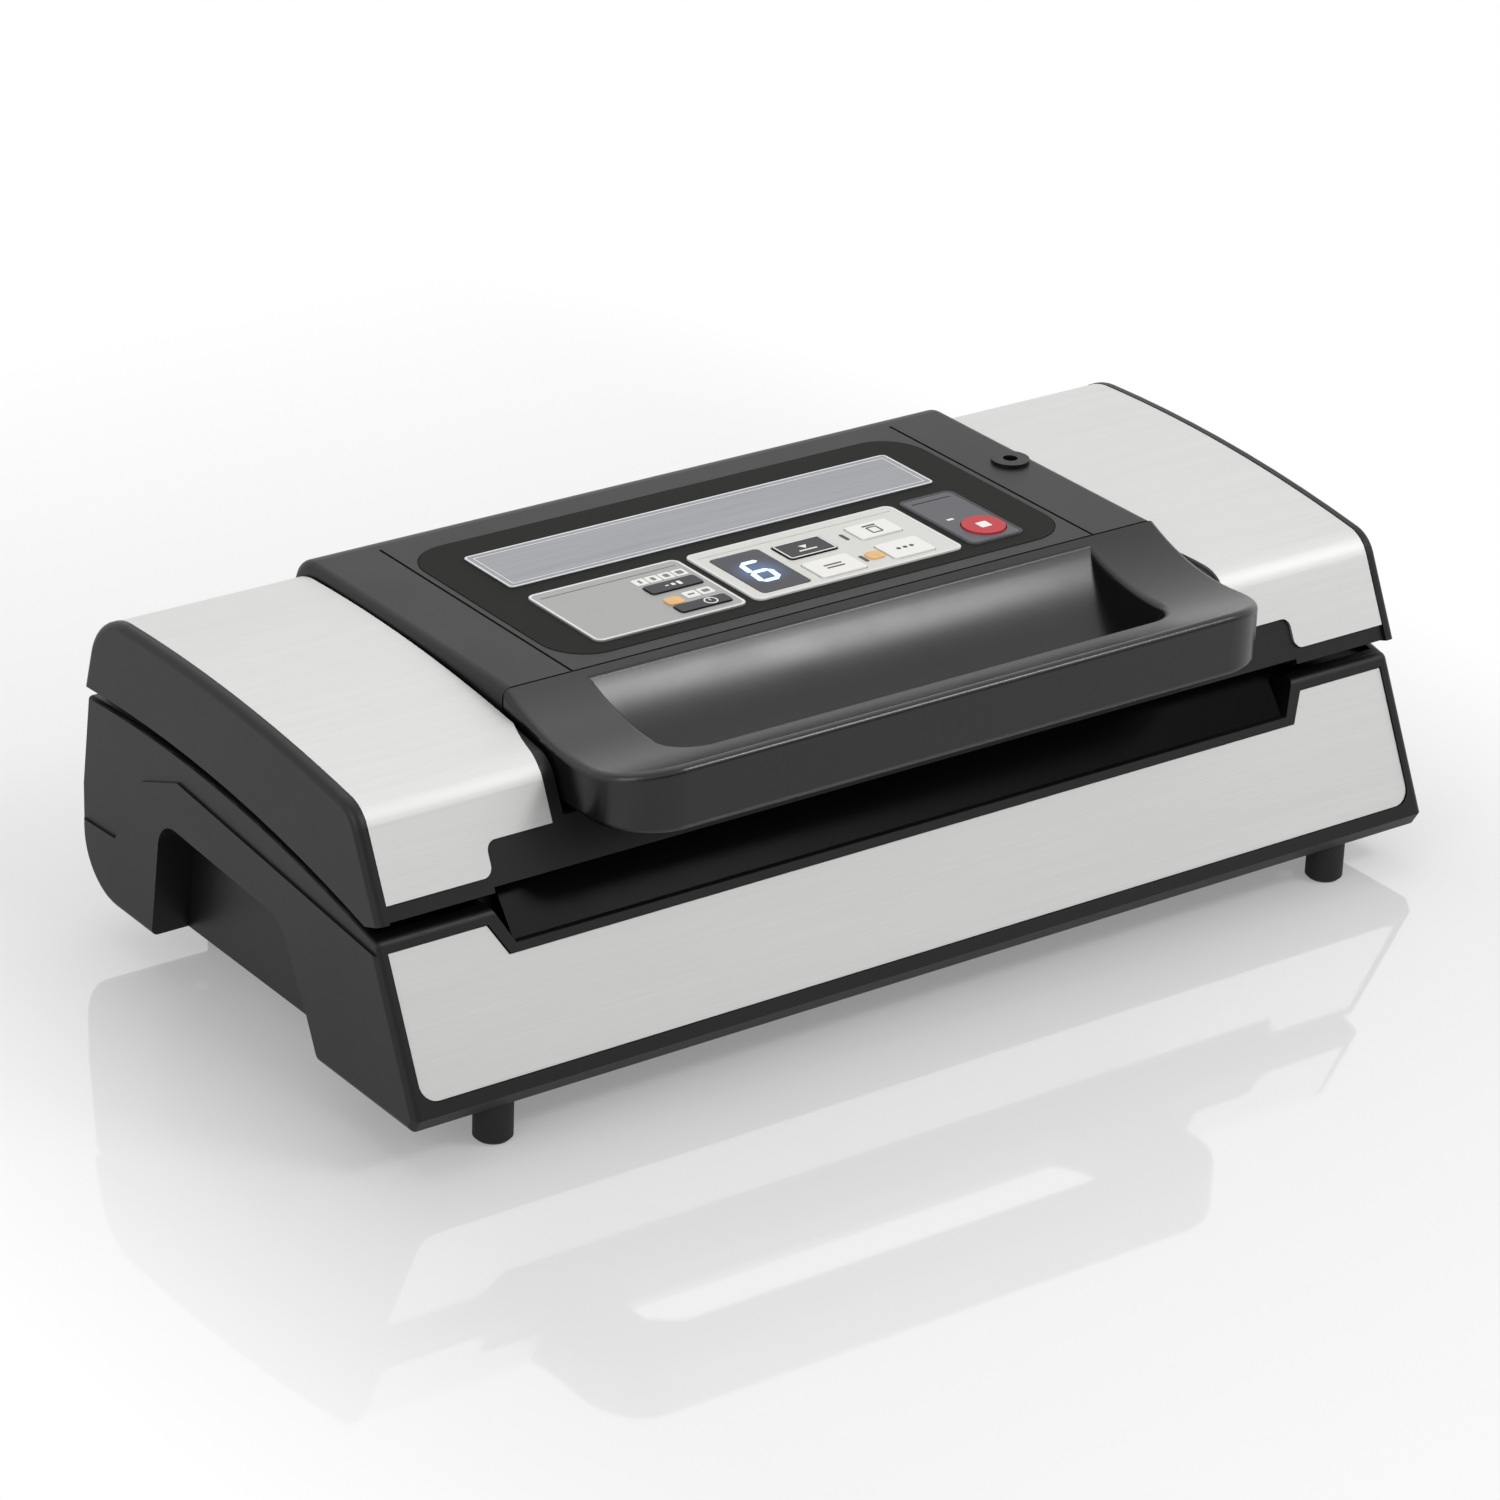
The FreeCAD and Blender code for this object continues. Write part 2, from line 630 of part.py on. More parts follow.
def panel_outline(grow):
    """Front panel seen square on: a strip with the bag notch in its top edge."""
    side = half - size.panel_border + grow
    top = face_length - size.panel_border + grow
    bottom = size.panel_border - grow
    notch_half = half - size.notch_inset - grow
    notch_foot = face_length - size.panel_border - size.notch_depth + grow
    notch_top = notch_half + size.notch_flare
    return [(-side, bottom), (side, bottom), (side, top), (notch_top, top), (notch_half, notch_foot),
            (-notch_half, notch_foot), (-notch_top, top), (-side, top)]


def grip_outline():
    rear_foot = size.grip_rear
    front_foot = -size.grip_front
    roof = floor + size.grip_height
    return [(rear_foot, floor - size.wall), (rear_foot - 6.5, roof), (front_foot + 23.5, roof - 4.2),
            (front_foot + 9.5, floor + 16), (front_foot, floor - size.wall)]


def flare_outline():
    crest = size.base_rear_height - size.flare_drop
    return [(rear + size.wall, size.flare_low), (rear + size.wall, size.base_rear_height + size.wall),
            (rim_y - size.wall, size.base_rear_height + size.wall),
            (rim_y - size.wall, size.base_front_height - size.panel_border),
            (size.grip_rear - 17, crest), (size.grip_rear + 5, crest - 8.4),
            (size.grip_rear + 22, size.flare_low + 1.5)]


def gasket_ring(inner, band):
    """Inner and outer wire of a band around the chamber."""
    rings = []
    for away in (inner, inner + band):
        rings.append(round_rect(-chamber_half - away, chamber_front - away, chamber_half + away,
                                chamber_back + away, size.chamber_corner + away))
    return rings


def make_base_housing():
    body = new_body("base_housing")
    add(body, "YZ", 0, [base_outline()], size.width, symmetric=True)
    round_edges(body, size.rear_corner_radius, along_x((rear, floor)))
    round_edges(body, size.casing_round, end_edges(half, 0))
    reach = size.grip_depth + size.casing_round
    cut(body, "YZ", half + size.casing_round, [grip_outline()], reach)
    cut(body, "YZ", -half + size.grip_depth, [grip_outline()], reach)
    corners = grip_outline()[1:4]
    round_edges(body, size.grip_round, along_x(*corners))
    step = size.flare_step + size.wall
    cut(body, "YZ", half + size.wall, [flare_outline()], step)
    cut(body, "YZ", -half + size.flare_step, [flare_outline()], step)
    recess = draw_on_front(body, [panel_outline(size.fit)])
    extrude(body, "PartDesign::Pocket", recess, size.panel_recess)
    round_edges(body, size.panel_corner, panel_corner_edges(size.fit))
    top = size.base_rear_height
    flare = notch_half + size.notch_flare * (top - notch_foot) / size.notch_depth
    notch = [(-notch_half, notch_foot), (notch_half, notch_foot), (flare, top), (-flare, top)]
    cut(body, "XZ", front, [notch], ledge_back - front)
    side = half - size.rim_wall
    lift = size.base_rear_height + size.seam_radius / 20
    cut(body, "XY", lift, [rect(-side, deck_front, side, deck_back)], lift - deck)
    cut(body, "XY", lift, [rect(-side, deck_back - size.fit, side, liner_back + size.fit)], lift - rear_deck)
    cut(body, "XY", deck, [round_rect(-chamber_half, chamber_front, chamber_half, chamber_back,
                                      size.chamber_corner)], size.chamber_depth)
    cut(body, "XY", deck, gasket_ring(size.gasket_margin, size.gasket_width + 2 * size.fit), size.gasket_seat)
    cut(body, "XY", deck, [rect(-seal_half - size.fit, seal_front - size.fit, seal_half + size.fit,
                                seal_back + size.fit)], size.seal_bar_seat)
    well = size.hook_well / 2
    well_front = shaft_y - size.hook_stem - size.wall
    cut(body, "XY", deck, both_sides(hook_x - well, well_front, hook_x + well,
                                     keeper_y + size.keeper_radius + size.wall / 2), size.deck_block + 1)
    cut(body, "XY", block_foot, [rect(-cavity_half, deck_front, cavity_half, cavity_back)], block_foot)
    cut(body, "XY", rear_deck - size.wall,
        [rect(-cavity_half, deck_back + size.rim_wall, cavity_half, liner_back + size.wall)],
        rear_deck - size.wall - floor - size.rear_corner_radius)
    posts = [(x, y) for x in (-screw_x, screw_x) for y in (screw_front, screw_back)]
    add(body, "XY", plate_top, [(x, y, size.boss_radius) for x, y in posts[::2]], block_foot - plate_top + 1)
    add(body, "XY", plate_top, [(x, y, size.boss_radius) for x, y in posts[1::2]],
        rear_deck - size.wall - plate_top + 1)
    pilot = size.screw_radius + size.pin_play
    cut(body, "XY", plate_top + 6 * size.boss_radius, [(x, y, pilot) for x, y in posts], 8 * size.boss_radius)
    cut_knuckle_room(body, -size.lid_knuckle / 2, size.lid_knuckle)
    for start in knuckle_starts():
        add(body, "YZ", start, [(hinge_y, hinge_z, size.knuckle_radius)], size.base_knuckle)
    cut_pin_holes(body)
    for start in keeper_starts():
        cut(body, "YZ", start + keeper_length, [(keeper_y, keeper_z, size.keeper_radius + size.pin_play)],
            keeper_length)
    cut(body, "XY", chamber_floor, [(size.nozzle_x, nozzle_y, size.hose_bore)], size.deck_block)
    cut(body, "XY", rear_deck, [(switch_x, switch_y, size.screw_radius + size.fit)], 2 * size.wall)
    gland_x = -half + size.gland_inset
    sleeve = (gland_x, size.gland_height, size.gland_radius + size.pin_play)
    cut(body, "XZ", liner_back, [sleeve], size.rim_wall * 4)
    cut(body, "XZ", rear - size.wall / 2, [(gland_x, size.gland_height, size.gland_flange + size.pin_play)],
        size.wall)
    return body


def panel_corner_edges(grow):
    side = half - size.panel_border + grow
    foot = face_height(size.panel_border - grow)

    def chosen(edge):
        flat = edge.Vertexes[0].X == edge.Vertexes[-1].X or near(edge.Vertexes[0].X, edge.Vertexes[-1].X)
        low = any(abs(v.Z - float(foot)) < float(size.panel_recess) for v in edge.Vertexes)
        short = edge.Length < 2 * float(size.panel_recess)
        return flat and low and short and all(near(abs(v.X), side) for v in edge.Vertexes)
    return chosen


def make_bag_ledge():
    """Ramp that lifts the bag's mouth over the front rim."""
    body = new_body("bag_ledge")
    top = notch_foot + size.ledge_rise
    ramp_foot = ledge_back - size.ledge_run
    add(body, "YZ", 0, [[(ramp_foot, notch_foot), (ledge_back, notch_foot), (ledge_back, top),
                         (ledge_back - size.ledge_crest, top)]], 2 * (notch_half - size.fit), symmetric=True)


def make_front_panel():
    body = new_body("front_panel")
    sketch = draw_on_front(body, [panel_outline(0)])
    rise = size.base_front_height - toe_z
    bind(sketch, "AttachmentOffset.Base.y", toe_z - size.panel_recess * size.front_lean / face_length)
    bind(sketch, "AttachmentOffset.Base.z", -toe_y - size.panel_recess * rise / face_length)
    extrude(body, "PartDesign::Pad", sketch, size.panel_sheet)
    round_edges(body, size.panel_corner, panel_corner_edges(0))


def make_base_plate():
    body = new_body("base_plate")
    side = cavity_half - size.fit
    outline = rect(-side, deck_front + size.fit, side, cavity_back - size.fit)
    add(body, "XY", floor, [outline], size.plate_thickness)
    posts = [(x, y) for x in (-screw_x, screw_x) for y in (screw_front, screw_back)]
    cut(body, "XY", plate_top, [(x, y, size.screw_radius + size.fit) for x, y in posts], size.plate_thickness)
    sinks = [(x, y, size.screw_head + size.fit) for x, y in posts]
    cut(body, "XY", head_seat, sinks, size.plate_thickness)
    vents = []
    for number in range(VENT_COUNT):
        left = (number - VENT_COUNT / 2) * size.vent_pitch
        vents.append(rect(left, -size.vent_run / 2, left + size.vent_width, size.vent_run / 2))
    cut(body, "XY", plate_top, vents, size.plate_thickness)
    stands = [(x, y, size.boss_radius) for x in board_posts_x for y in board_posts_y]
    add(body, "XY", plate_top, stands, 2 * size.wall)


def make_rubber_feet():
    body = new_body("rubber_feet")
    x = half - size.foot_inset
    front_y = front + size.foot_setback
    back_y = cavity_back - size.foot_radius - size.wall
    add(body, "XY", 0, [(side, y, size.foot_radius) for side in (-x, x) for y in (front_y, back_y)], floor)
    round_edges(body, size.foot_radius / 6, lambda edge: all(near(v.Z, 0) for v in edge.Vertexes), "Chamfer")


def make_base_screws():
    body = new_body("base_screws")
    posts = [(x, y) for x in (-screw_x, screw_x) for y in (screw_front, screw_back)]
    heads = [(x, y, size.screw_head) for x, y in posts]
    add(body, "XY", floor + size.fit, heads, head_seat - floor - size.fit)
    add(body, "XY", head_seat, [(x, y, size.screw_radius) for x, y in posts], 4 * size.boss_radius)


def make_chamber_pieces():
    ring = new_body("lower_gasket")
    add(ring, "XY", deck - size.gasket_seat, gasket_ring(gasket_inner, size.gasket_width),
        size.gasket_seat + size.gasket_rise)
    tray = new_body("drip_tray")
    left = -chamber_half + size.fit
    right = size.nozzle_x - 4 * size.hose_bore
    ends = (chamber_front + size.fit, chamber_back - size.fit)
    corner = size.chamber_corner - size.fit
    add(tray, "XY", chamber_floor, [round_rect(left, ends[0], right, ends[1], corner)],
        size.chamber_depth - size.fit)
    inner = size.tray_wall
    cut(tray, "XY", deck, [round_rect(left + inner, ends[0] + inner, right - inner, ends[1] - inner,
                                      corner - inner)], size.chamber_depth - inner)
    block("seal_bar", -seal_half, seal_front, deck - size.seal_bar_seat, seal_half, seal_back, seal_top)
    middle = (seal_front + seal_back) / 2
    thin = size.element_width / 2
    reach = seal_half - size.wall
    ribbon_top = seal_top + size.element_thickness
    block("heating_element", -reach, middle - thin, seal_top, reach, middle + thin, ribbon_top)
    tape = new_body("nonstick_tape")
    cover = size.seal_bar_width / 2 - size.fit
    slack = thin + size.pin_play
    under = ribbon_top + size.pin_play / 5
    top = seal_top + size.tape_thickness
    add(tape, "YZ", 0, [[(middle - cover, seal_top), (middle - slack, seal_top), (middle - slack, under),
                         (middle + slack, under), (middle + slack, seal_top), (middle + cover, seal_top),
                         (middle + cover, top), (middle - cover, top)]], 2 * reach, symmetric=True)


def make_vacuum_path():
    nozzle = new_body("vacuum_nozzle")
    at = (size.nozzle_x, nozzle_y)
    stem = size.hose_bore - size.pin_play
    add(nozzle, "XY", chamber_floor, [(*at, 2 * size.hose_bore)], size.tray_wall)
    add(nozzle, "XY", chamber_floor, [(*at, stem)], size.chamber_depth * 0.7)
    add(nozzle, "XY", hose_z, [(*at, stem)], chamber_floor - hose_z)
    elbow = size.hose_radius
    block = rect(at[0] - elbow, at[1] - elbow, at[0] + elbow, at[1] + elbow)
    add(nozzle, "XY", hose_z - elbow, [block], 2 * elbow)
    spout_end = nozzle_y + elbow + size.spout
    add(nozzle, "XZ", spout_end, [(size.nozzle_x, hose_z, stem)], size.spout)
    bore = size.hose_bore / 2
    cut(nozzle, "XY", deck, [(*at, bore)], deck - hose_z + bore)
    cut(nozzle, "XZ", nozzle_y, [(size.nozzle_x, hose_z, bore - size.pin_play)], spout_end - nozzle_y)
    hose = new_body("vacuum_hose")
    hose_end = pump_front - size.fit
    hose_start = nozzle_y + size.hose_radius
    rings = [(size.nozzle_x, hose_z, size.hose_radius), (size.nozzle_x, hose_z, size.hose_bore)]
    add(hose, "XZ", hose_end, rings, hose_end - hose_start)


def make_power_pieces():
    head = new_body("pump_head")
    side = size.pump_length / 2
    top = plate_top + size.pump_height
    add(head, "XY", plate_top, [rect(pump_x - side, pump_front, pump_x + side, pump_back)], size.pump_height)
    round_edges(head, size.wall, along_z((pump_x - side, pump_front), (pump_x - side, pump_back),
                                         (pump_x + side, pump_front), (pump_x + side, pump_back)))
    add(head, "XZ", pump_front, [(pump_x, hose_z, size.hose_bore - size.pin_play)], size.spout)
    motor = new_body("pump_motor")
    motor_y = (pump_front + pump_back) / 2
    motor_z = top - size.motor_radius - size.wall
    start = pump_x - side - size.motor_length
    add(motor, "YZ", start, [(motor_y, motor_z, size.motor_radius)], size.motor_length)
    add(motor, "YZ", start - size.wall, [(motor_y, motor_z, size.motor_radius / 3)], size.wall)
    core = new_body("transformer_core")
    left = -screw_x + size.boss_radius + 2 * size.wall
    core_front = pump_back - size.core_run
    limb = size.core_length / 6
    add(core, "XZ", pump_back, [rect(left, plate_top, left + size.core_length, plate_top + size.core_height)],
        size.core_run)
    windows = [rect(left + limb, plate_top + limb, left + 2 * limb, plate_top + size.core_height - limb),
               rect(left + 4 * limb, plate_top + limb, left + 5 * limb, plate_top + size.core_height - limb)]
    cut(core, "XZ", core_front - 1, windows, size.core_run + 2)
    coil = new_body("transformer_coil")
    bulge = size.coil_bulge
    winding = rect(left + limb + size.fit, core_front - bulge, left + 5 * limb - size.fit, pump_back + bulge)
    bobbin = rect(left + 2 * limb - size.fit, core_front - size.fit, left + 4 * limb + size.fit,
                  pump_back + size.fit)
    tall = size.core_height - 2 * limb - 2 * size.fit
    add(coil, "XY", plate_top + limb + size.fit, [winding, bobbin], tall)
    board = new_body("power_board")
    low = plate_top + 2 * size.wall
    edge = size.boss_radius + size.wall
    add(board, "XY", low, [rect(board_posts_x[0] - edge, board_posts_y[0] - edge, board_posts_x[1] + edge,
                                board_posts_y[1] + edge)], size.board_thickness)
    face = low + size.board_thickness
    left, front_row = board_posts_x[0], board_posts_y[0] + edge
    cans = [(left + shift * size.can_radius, front_row, size.can_radius) for shift in (3, 6)]
    add(board, "XY", face, cans, size.can_height)
    relay = left + 9 * size.can_radius
    add(board, "XY", face, [rect(relay, front_row - size.can_radius, relay + size.relay_length,
                                 front_row + size.can_radius)], size.relay_height)
    switch = new_body("lid_switch")
    under = rear_deck - size.wall
    tall = 4 * size.wall
    long = size.switch_size * 1.5
    add(switch, "XY", under - tall, [rect(switch_x - long, switch_y - size.switch_size / 2, switch_x + long,
                                          switch_y + size.switch_size / 2)], tall)
    plunger = size.wall + size.rear_slot_gap - size.fit
    add(switch, "XY", under, [(switch_x, switch_y, size.screw_radius)], plunger)
    gland = new_body("cord_gland")
    at = (-half + size.gland_inset, size.gland_height)
    inner = liner_back + size.wall - size.fit
    add(gland, "XZ", rear - size.wall / 2, [(*at, size.gland_radius)], rear - size.wall / 2 - inner)
    add(gland, "XZ", rear, [(*at, size.gland_flange)], size.wall / 2)
    cut(gland, "XZ", inner - 1, [(*at, size.gland_bore)], size.depth)


# Hinge and latch


def knuckle_starts():
    out = size.lid_knuckle / 2 + size.knuckle_gap
    return [side + shift for side in (-hinge_x, hinge_x) for shift in (-out - size.base_knuckle, out)]


def cut_knuckle_room(body, start, length):
    """Room around the other half's knuckles, measured from each hinge's middle."""
    gap = size.knuckle_gap
    for side in (-hinge_x, hinge_x):
        cut(body, "YZ", side + start + length + gap * 0.8,
            [(hinge_y, hinge_z, size.knuckle_radius + gap)], length + gap * 1.6)


def cut_pin_holes(body):
    out = size.lid_knuckle / 2 + size.knuckle_gap + size.base_knuckle + 1
    for side in (-hinge_x, hinge_x):
        cut(body, "YZ", side + out, [(hinge_y, hinge_z, size.pin_radius + size.pin_play)], 2 * out)


def keeper_starts():
    return [-hook_x - keeper_length / 2, hook_x - keeper_length / 2]


def make_hinge_and_keepers():
    out = size.lid_knuckle / 2 + size.knuckle_gap + size.base_knuckle
    starts = [(side - out, hinge_y, hinge_z) for side in (-hinge_x, hinge_x)]
    rods("hinge_pins", size.pin_radius, 2 * out, starts)
    rods("latch_keepers", size.keeper_radius, keeper_length - 2 * size.fit,
         [(start + size.fit, keeper_y, keeper_z) for start in keeper_starts()])


# Lid


def lid_outline(inset):
    """Side view of the lid, drawn in from its outside by an inset."""
    front_k = size.lid_front_lean / (size.lid_front_height - lid_foot_z)
    rear_k = size.lid_rear_lean / (size.lid_rear_height - lid_back_z)
    front_in = inset * root(front_k * front_k + 1)
    rear_in = inset * root(rear_k * rear_k + 1)
    brow_y = lid_foot_y + size.lid_front_lean + front_in - inset * front_k
    crown_y = lid_back_y - size.lid_rear_lean - rear_in + inset * rear_k
    return [(lid_foot_y + front_in, lid_foot_z),
            (lid_foot_y + size.lid_lip, size.base_front_height + size.seam_gap, -size.seam_radius),
            (lid_back_y - rear_in, lid_back_z), (crown_y, size.lid_rear_height - inset, size.lid_top_radius),
            (brow_y, size.lid_front_height - inset)]


def round_lid(body, inset):
    outline = lid_outline(inset)
    round_edges(body, size.lid_rear_radius - inset, along_x(outline[3]))
    round_edges(body, size.lid_brow_radius - inset, along_x(outline[4]))


def make_lid_frame():
    body = new_body("lid_frame")
    add(body, "YZ", 0, [lid_outline(core_inset)], size.width - size.cheek, symmetric=True)
    round_lid(body, core_inset)
    add(body, "YZ", half - size.cheek, [lid_outline(0)], size.cheek)
    add(body, "YZ", -half, [lid_outline(0)], size.cheek)
    round_lid(body, 0 * size.cheek)
    round_edges(body, size.casing_round, end_edges(half, lid_foot_z + 1))
    seat = liner_half + size.fit
    seat_front = liner_front - size.fit
    seat_back = liner_back + size.fit
    add(body, "YZ", 0, [[(seat_front, liner_top), (liner_step, liner_top), (liner_step, rear_liner_top),
                         (seat_back, rear_liner_top), (seat_back, lid_back_z + size.cover_rear_rise),
                         (seat_front, lid_foot_z + size.cover_skirt)]], 2 * liner_half, symmetric=True)
    cut(body, "YZ", 0, [rect(seat_front, deck, liner_step, liner_top)], 2 * seat, symmetric=True)
    inner_end = well_half + size.wall
    room = half - size.cheek - size.wall - inner_end
    shoulder = size.lid_rear_radius * 0.75
    brow_y = lid_foot_y + size.lid_front_lean
    outline = [(seat_front, deck), (seat_back, deck), (seat_back, size.lid_rear_height - shoulder),
               (seat_back - shoulder * 0.8, size.lid_rear_height - 1.6 * size.wall),
               (brow_y + 4 * size.wall, size.lid_front_height - size.wall),
               (brow_y + 1.6 * size.wall, size.lid_front_height - 2.6 * size.wall)]
    cut(body, "YZ", inner_end + room, [outline], room)
    cut(body, "YZ", -inner_end, [outline], room)
    lift = console_top + size.wall
    side = console_half + size.handle_gap / 2
    cut(body, "XY", lift, [rect(-side, bulkhead_y, side, rear)], lift - console_seat)
    cut(body, "XY", lift, [rect(-well_half, front, well_half, bulkhead_y)], lift - well_floor)
    window = console_half - size.rim_wall
    board_room = rect(-window, bulkhead_y + size.bulkhead, window, liner_back - 2 * size.wall)
    cut(body, "XY", lift, [board_room], lift - deck)
    slot_half = half - size.notch_inset + size.notch_flare / 2
    cut(body, "XY", liner_top, [rect(-slot_half, front, slot_half, seat_front + size.fit)], liner_top - deck)
    for level in (inner_end + size.wall, -well_half + size.wall):
        cut(body, "YZ", level, [(shaft_y, shaft_z, size.shaft_radius + 2 * size.pin_play)], 3 * size.wall)
    pilot = size.screw_radius + size.pin_play
    pilots = [(x, y, pilot) for x in (-lid_screw_x, lid_screw_x) for y in (lid_screw_front, lid_screw_back)]
    cut(body, "XY", rear_liner_top + 3 * size.boss_radius, pilots, 8 * size.boss_radius)
    knuckle = size.lid_knuckle / 2
    for start in (-knuckle - size.knuckle_gap - size.base_knuckle, knuckle + size.knuckle_gap):
        cut_knuckle_room(body, start, size.base_knuckle)
    for side in (-hinge_x, hinge_x):
        add(body, "YZ", side - knuckle, [(hinge_y, hinge_z, size.knuckle_radius)], size.lid_knuckle)
    cut_pin_holes(body)


def make_steel_cover(label, mirror):
    """Bent sheet over one end of the lid, stepped up at the front beside the bag slot."""
    body = new_body(label)
    inner = well_half + size.cover_gap
    length = half - size.cheek - size.cover_gap - inner
    add(body, "YZ", -inner - length if mirror else inner, [lid_outline(size.cover_reveal)], length)
    round_lid(body, size.cover_reveal)
    doc.recompute()
    solid = body.Tip
    outer = [f"Face{number}" for number, face in enumerate(solid.Shape.Faces, 1) if is_open_side(face)]
    shell = body.newObject("PartDesign::Thickness", "Thickness")
    shell.Base = (solid, outer)
    bind(shell, "Value", size.cover_sheet)
    shell.Reversed = True
    shell.Join = 1
    slot = half - size.notch_inset + size.notch_flare / 2
    low = lid_foot_z + size.cover_skirt
    high = low + size.cover_step
    bend = size.cover_corner
    skirt = [(inner * 0.8, deck), (half, deck), (half, low), (slot + bend, low, -bend), (slot, low + bend),
             (slot, high - bend, bend), (slot - bend, high), (inner * 0.8, high)]
    cut(body, "XZ", front, [mirrored(skirt) if mirror else skirt], size.console_setback)
    relief = [(inner * 0.8, front), (inner + size.cover_relief, front),
              (inner + size.cover_relief, lid_foot_y + size.lid_front_lean, 3 * size.lid_rear_radius),
              (inner, shaft_y), (inner * 0.8, shaft_y)]
    cut(body, "XY", console_top, [mirrored(relief) if mirror else relief], console_top - deck)
    cut(body, "XY", lid_back_z + size.cover_rear_rise, [rect(-half, 0, half, rear)], lid_back_z)
    return body


def mirrored(wire):
    """The wire's mirror image across the middle, still running the same way round."""
    turned = []
    for index in reversed(range(len(wire))):
        turned.append((-wire[index][0], wire[index][1], *wire[index - 1][2:]))
    return turned


def is_open_side(face):
    """End faces and underside of the lid's solid outline."""
    middle = face.CenterOfMass
    normal = face.normalAt(*face.Surface.parameter(middle))
    low = middle.z < float(lid_back_z) + 2 and normal.z < -0.2
    return abs(normal.x) > 0.9 or low


def make_lid_liner():
    body = new_body("lid_liner")
    step = liner_step + size.liner_thickness
    outline = [(liner_front, liner_bottom), (step, liner_bottom), (step, rear_liner_bottom),
               (liner_back, rear_liner_bottom), (liner_back, rear_liner_top), (liner_step, rear_liner_top),
               (liner_step, liner_top), (liner_front, liner_top)]
    add(body, "YZ", 0, [outline], 2 * liner_half, symmetric=True)
    reach = size.hook_well / 2 - size.handle_gap
    slots = both_sides(hook_x - reach, shaft_y - size.hook_stem - size.wall, hook_x + reach,
                       keeper_y + size.keeper_radius)
    cut(body, "XY", liner_top, slots, size.liner_thickness)
    sunk = liner_bottom + size.groove_depth
    ring = gasket_ring(size.gasket_margin, size.gasket_width + 2 * size.fit)
    cut(body, "XY", sunk, ring, size.groove_depth)
    groove = rect(-seal_half, seal_front + size.fit, seal_half, seal_back - size.fit)
    cut(body, "XY", sunk, [groove], size.groove_depth)
    hole = size.screw_radius + size.fit
    holes = [(x, y, hole) for x in (-lid_screw_x, lid_screw_x) for y in (lid_screw_front, lid_screw_back)]
    cut(body, "XY", rear_liner_top, holes, rear_liner_top - deck)


def make_lid_seals():
    ring = new_body("upper_gasket")
    foot = deck + size.gasket_rise + size.gasket_gap
    sunk = liner_bottom + size.groove_depth
    add(ring, "XY", foot, gasket_ring(gasket_inner, size.gasket_width), sunk - foot)
    strip_half = seal_half - size.fit
    strip_foot = liner_bottom - size.pressure_strip_drop
    block("pressure_strip", -strip_half, seal_front + 2 * size.fit, strip_foot, strip_half,
          seal_back - 2 * size.fit, sunk)
    screws = new_body("lid_screws")
    for y, seat in ((lid_screw_front, liner_bottom), (lid_screw_back, rear_liner_bottom)):
        spots = [(-lid_screw_x, y), (lid_screw_x, y)]
        heads = [(*spot, size.screw_head) for spot in spots]
        add(screws, "XY", seat - size.screw_radius, heads, size.screw_radius)
        add(screws, "XY", seat, [(*spot, size.screw_radius) for spot in spots], 3 * size.boss_radius)


# Console and control panel


def plate_spans():
    """Left and right edge of each plate, the three of them centred together."""
    total = size.left_plate_width + size.centre_plate_width + size.right_plate_width + 2 * size.plate_gap
    edge = -total / 2
    spans = {}
    for name, width in (("left", size.left_plate_width), ("centre", size.centre_plate_width),
                        ("right", size.right_plate_width)):
        spans[name] = (edge, edge + width)
        edge = edge + width + size.plate_gap
    return spans


def key_places():
    """Middle, width and run of each key; the round one has a radius only."""
    spans = plate_spans()
    places = {}
    for name, plate, *_ in KEYS:
        x = spans[plate][0] + getattr(size, f"{name}_across")
        y = plate_front + getattr(size, f"{name}_back")
        places[name] = (plate, x, y, getattr(size, f"{name}_width"), getattr(size, f"{name}_run"))
    x = spans["right"][1] - size.stop_key_inset - size.stop_key_radius
    y = plate_front + size.stop_key_setback + size.stop_key_radius
    places["stop_key"] = ("right", x, y, size.stop_key_radius, None)
    return places


def key_wire(place, grow):
    _, x, y, width, run = place
    if run is None:
        return (x, y, width + grow)
    return round_rect(x - width / 2 - grow, y - run / 2 - grow, x + width / 2 + grow, y + run / 2 + grow,
                      grow + size.key_rise * 2)


def window_wire(grow):
    left = plate_spans()["centre"][0] + size.window_across
    near_edge = plate_front + size.window_setback
    return round_rect(left - grow, near_edge - grow, left + size.window_width + grow,
                      near_edge + size.window_run + grow, grow + size.window_corner)


def console_holes(grow):
    return [key_wire(place, grow) for place in key_places().values()]


def inlay_wire(shrink):
    side = size.inlay_width / 2 - shrink
    near_edge = console_front + size.inlay_setback + shrink
    far_edge = near_edge + size.inlay_run - 2 * shrink
    return round_rect(-side, near_edge, side, far_edge, size.inlay_corner - shrink)


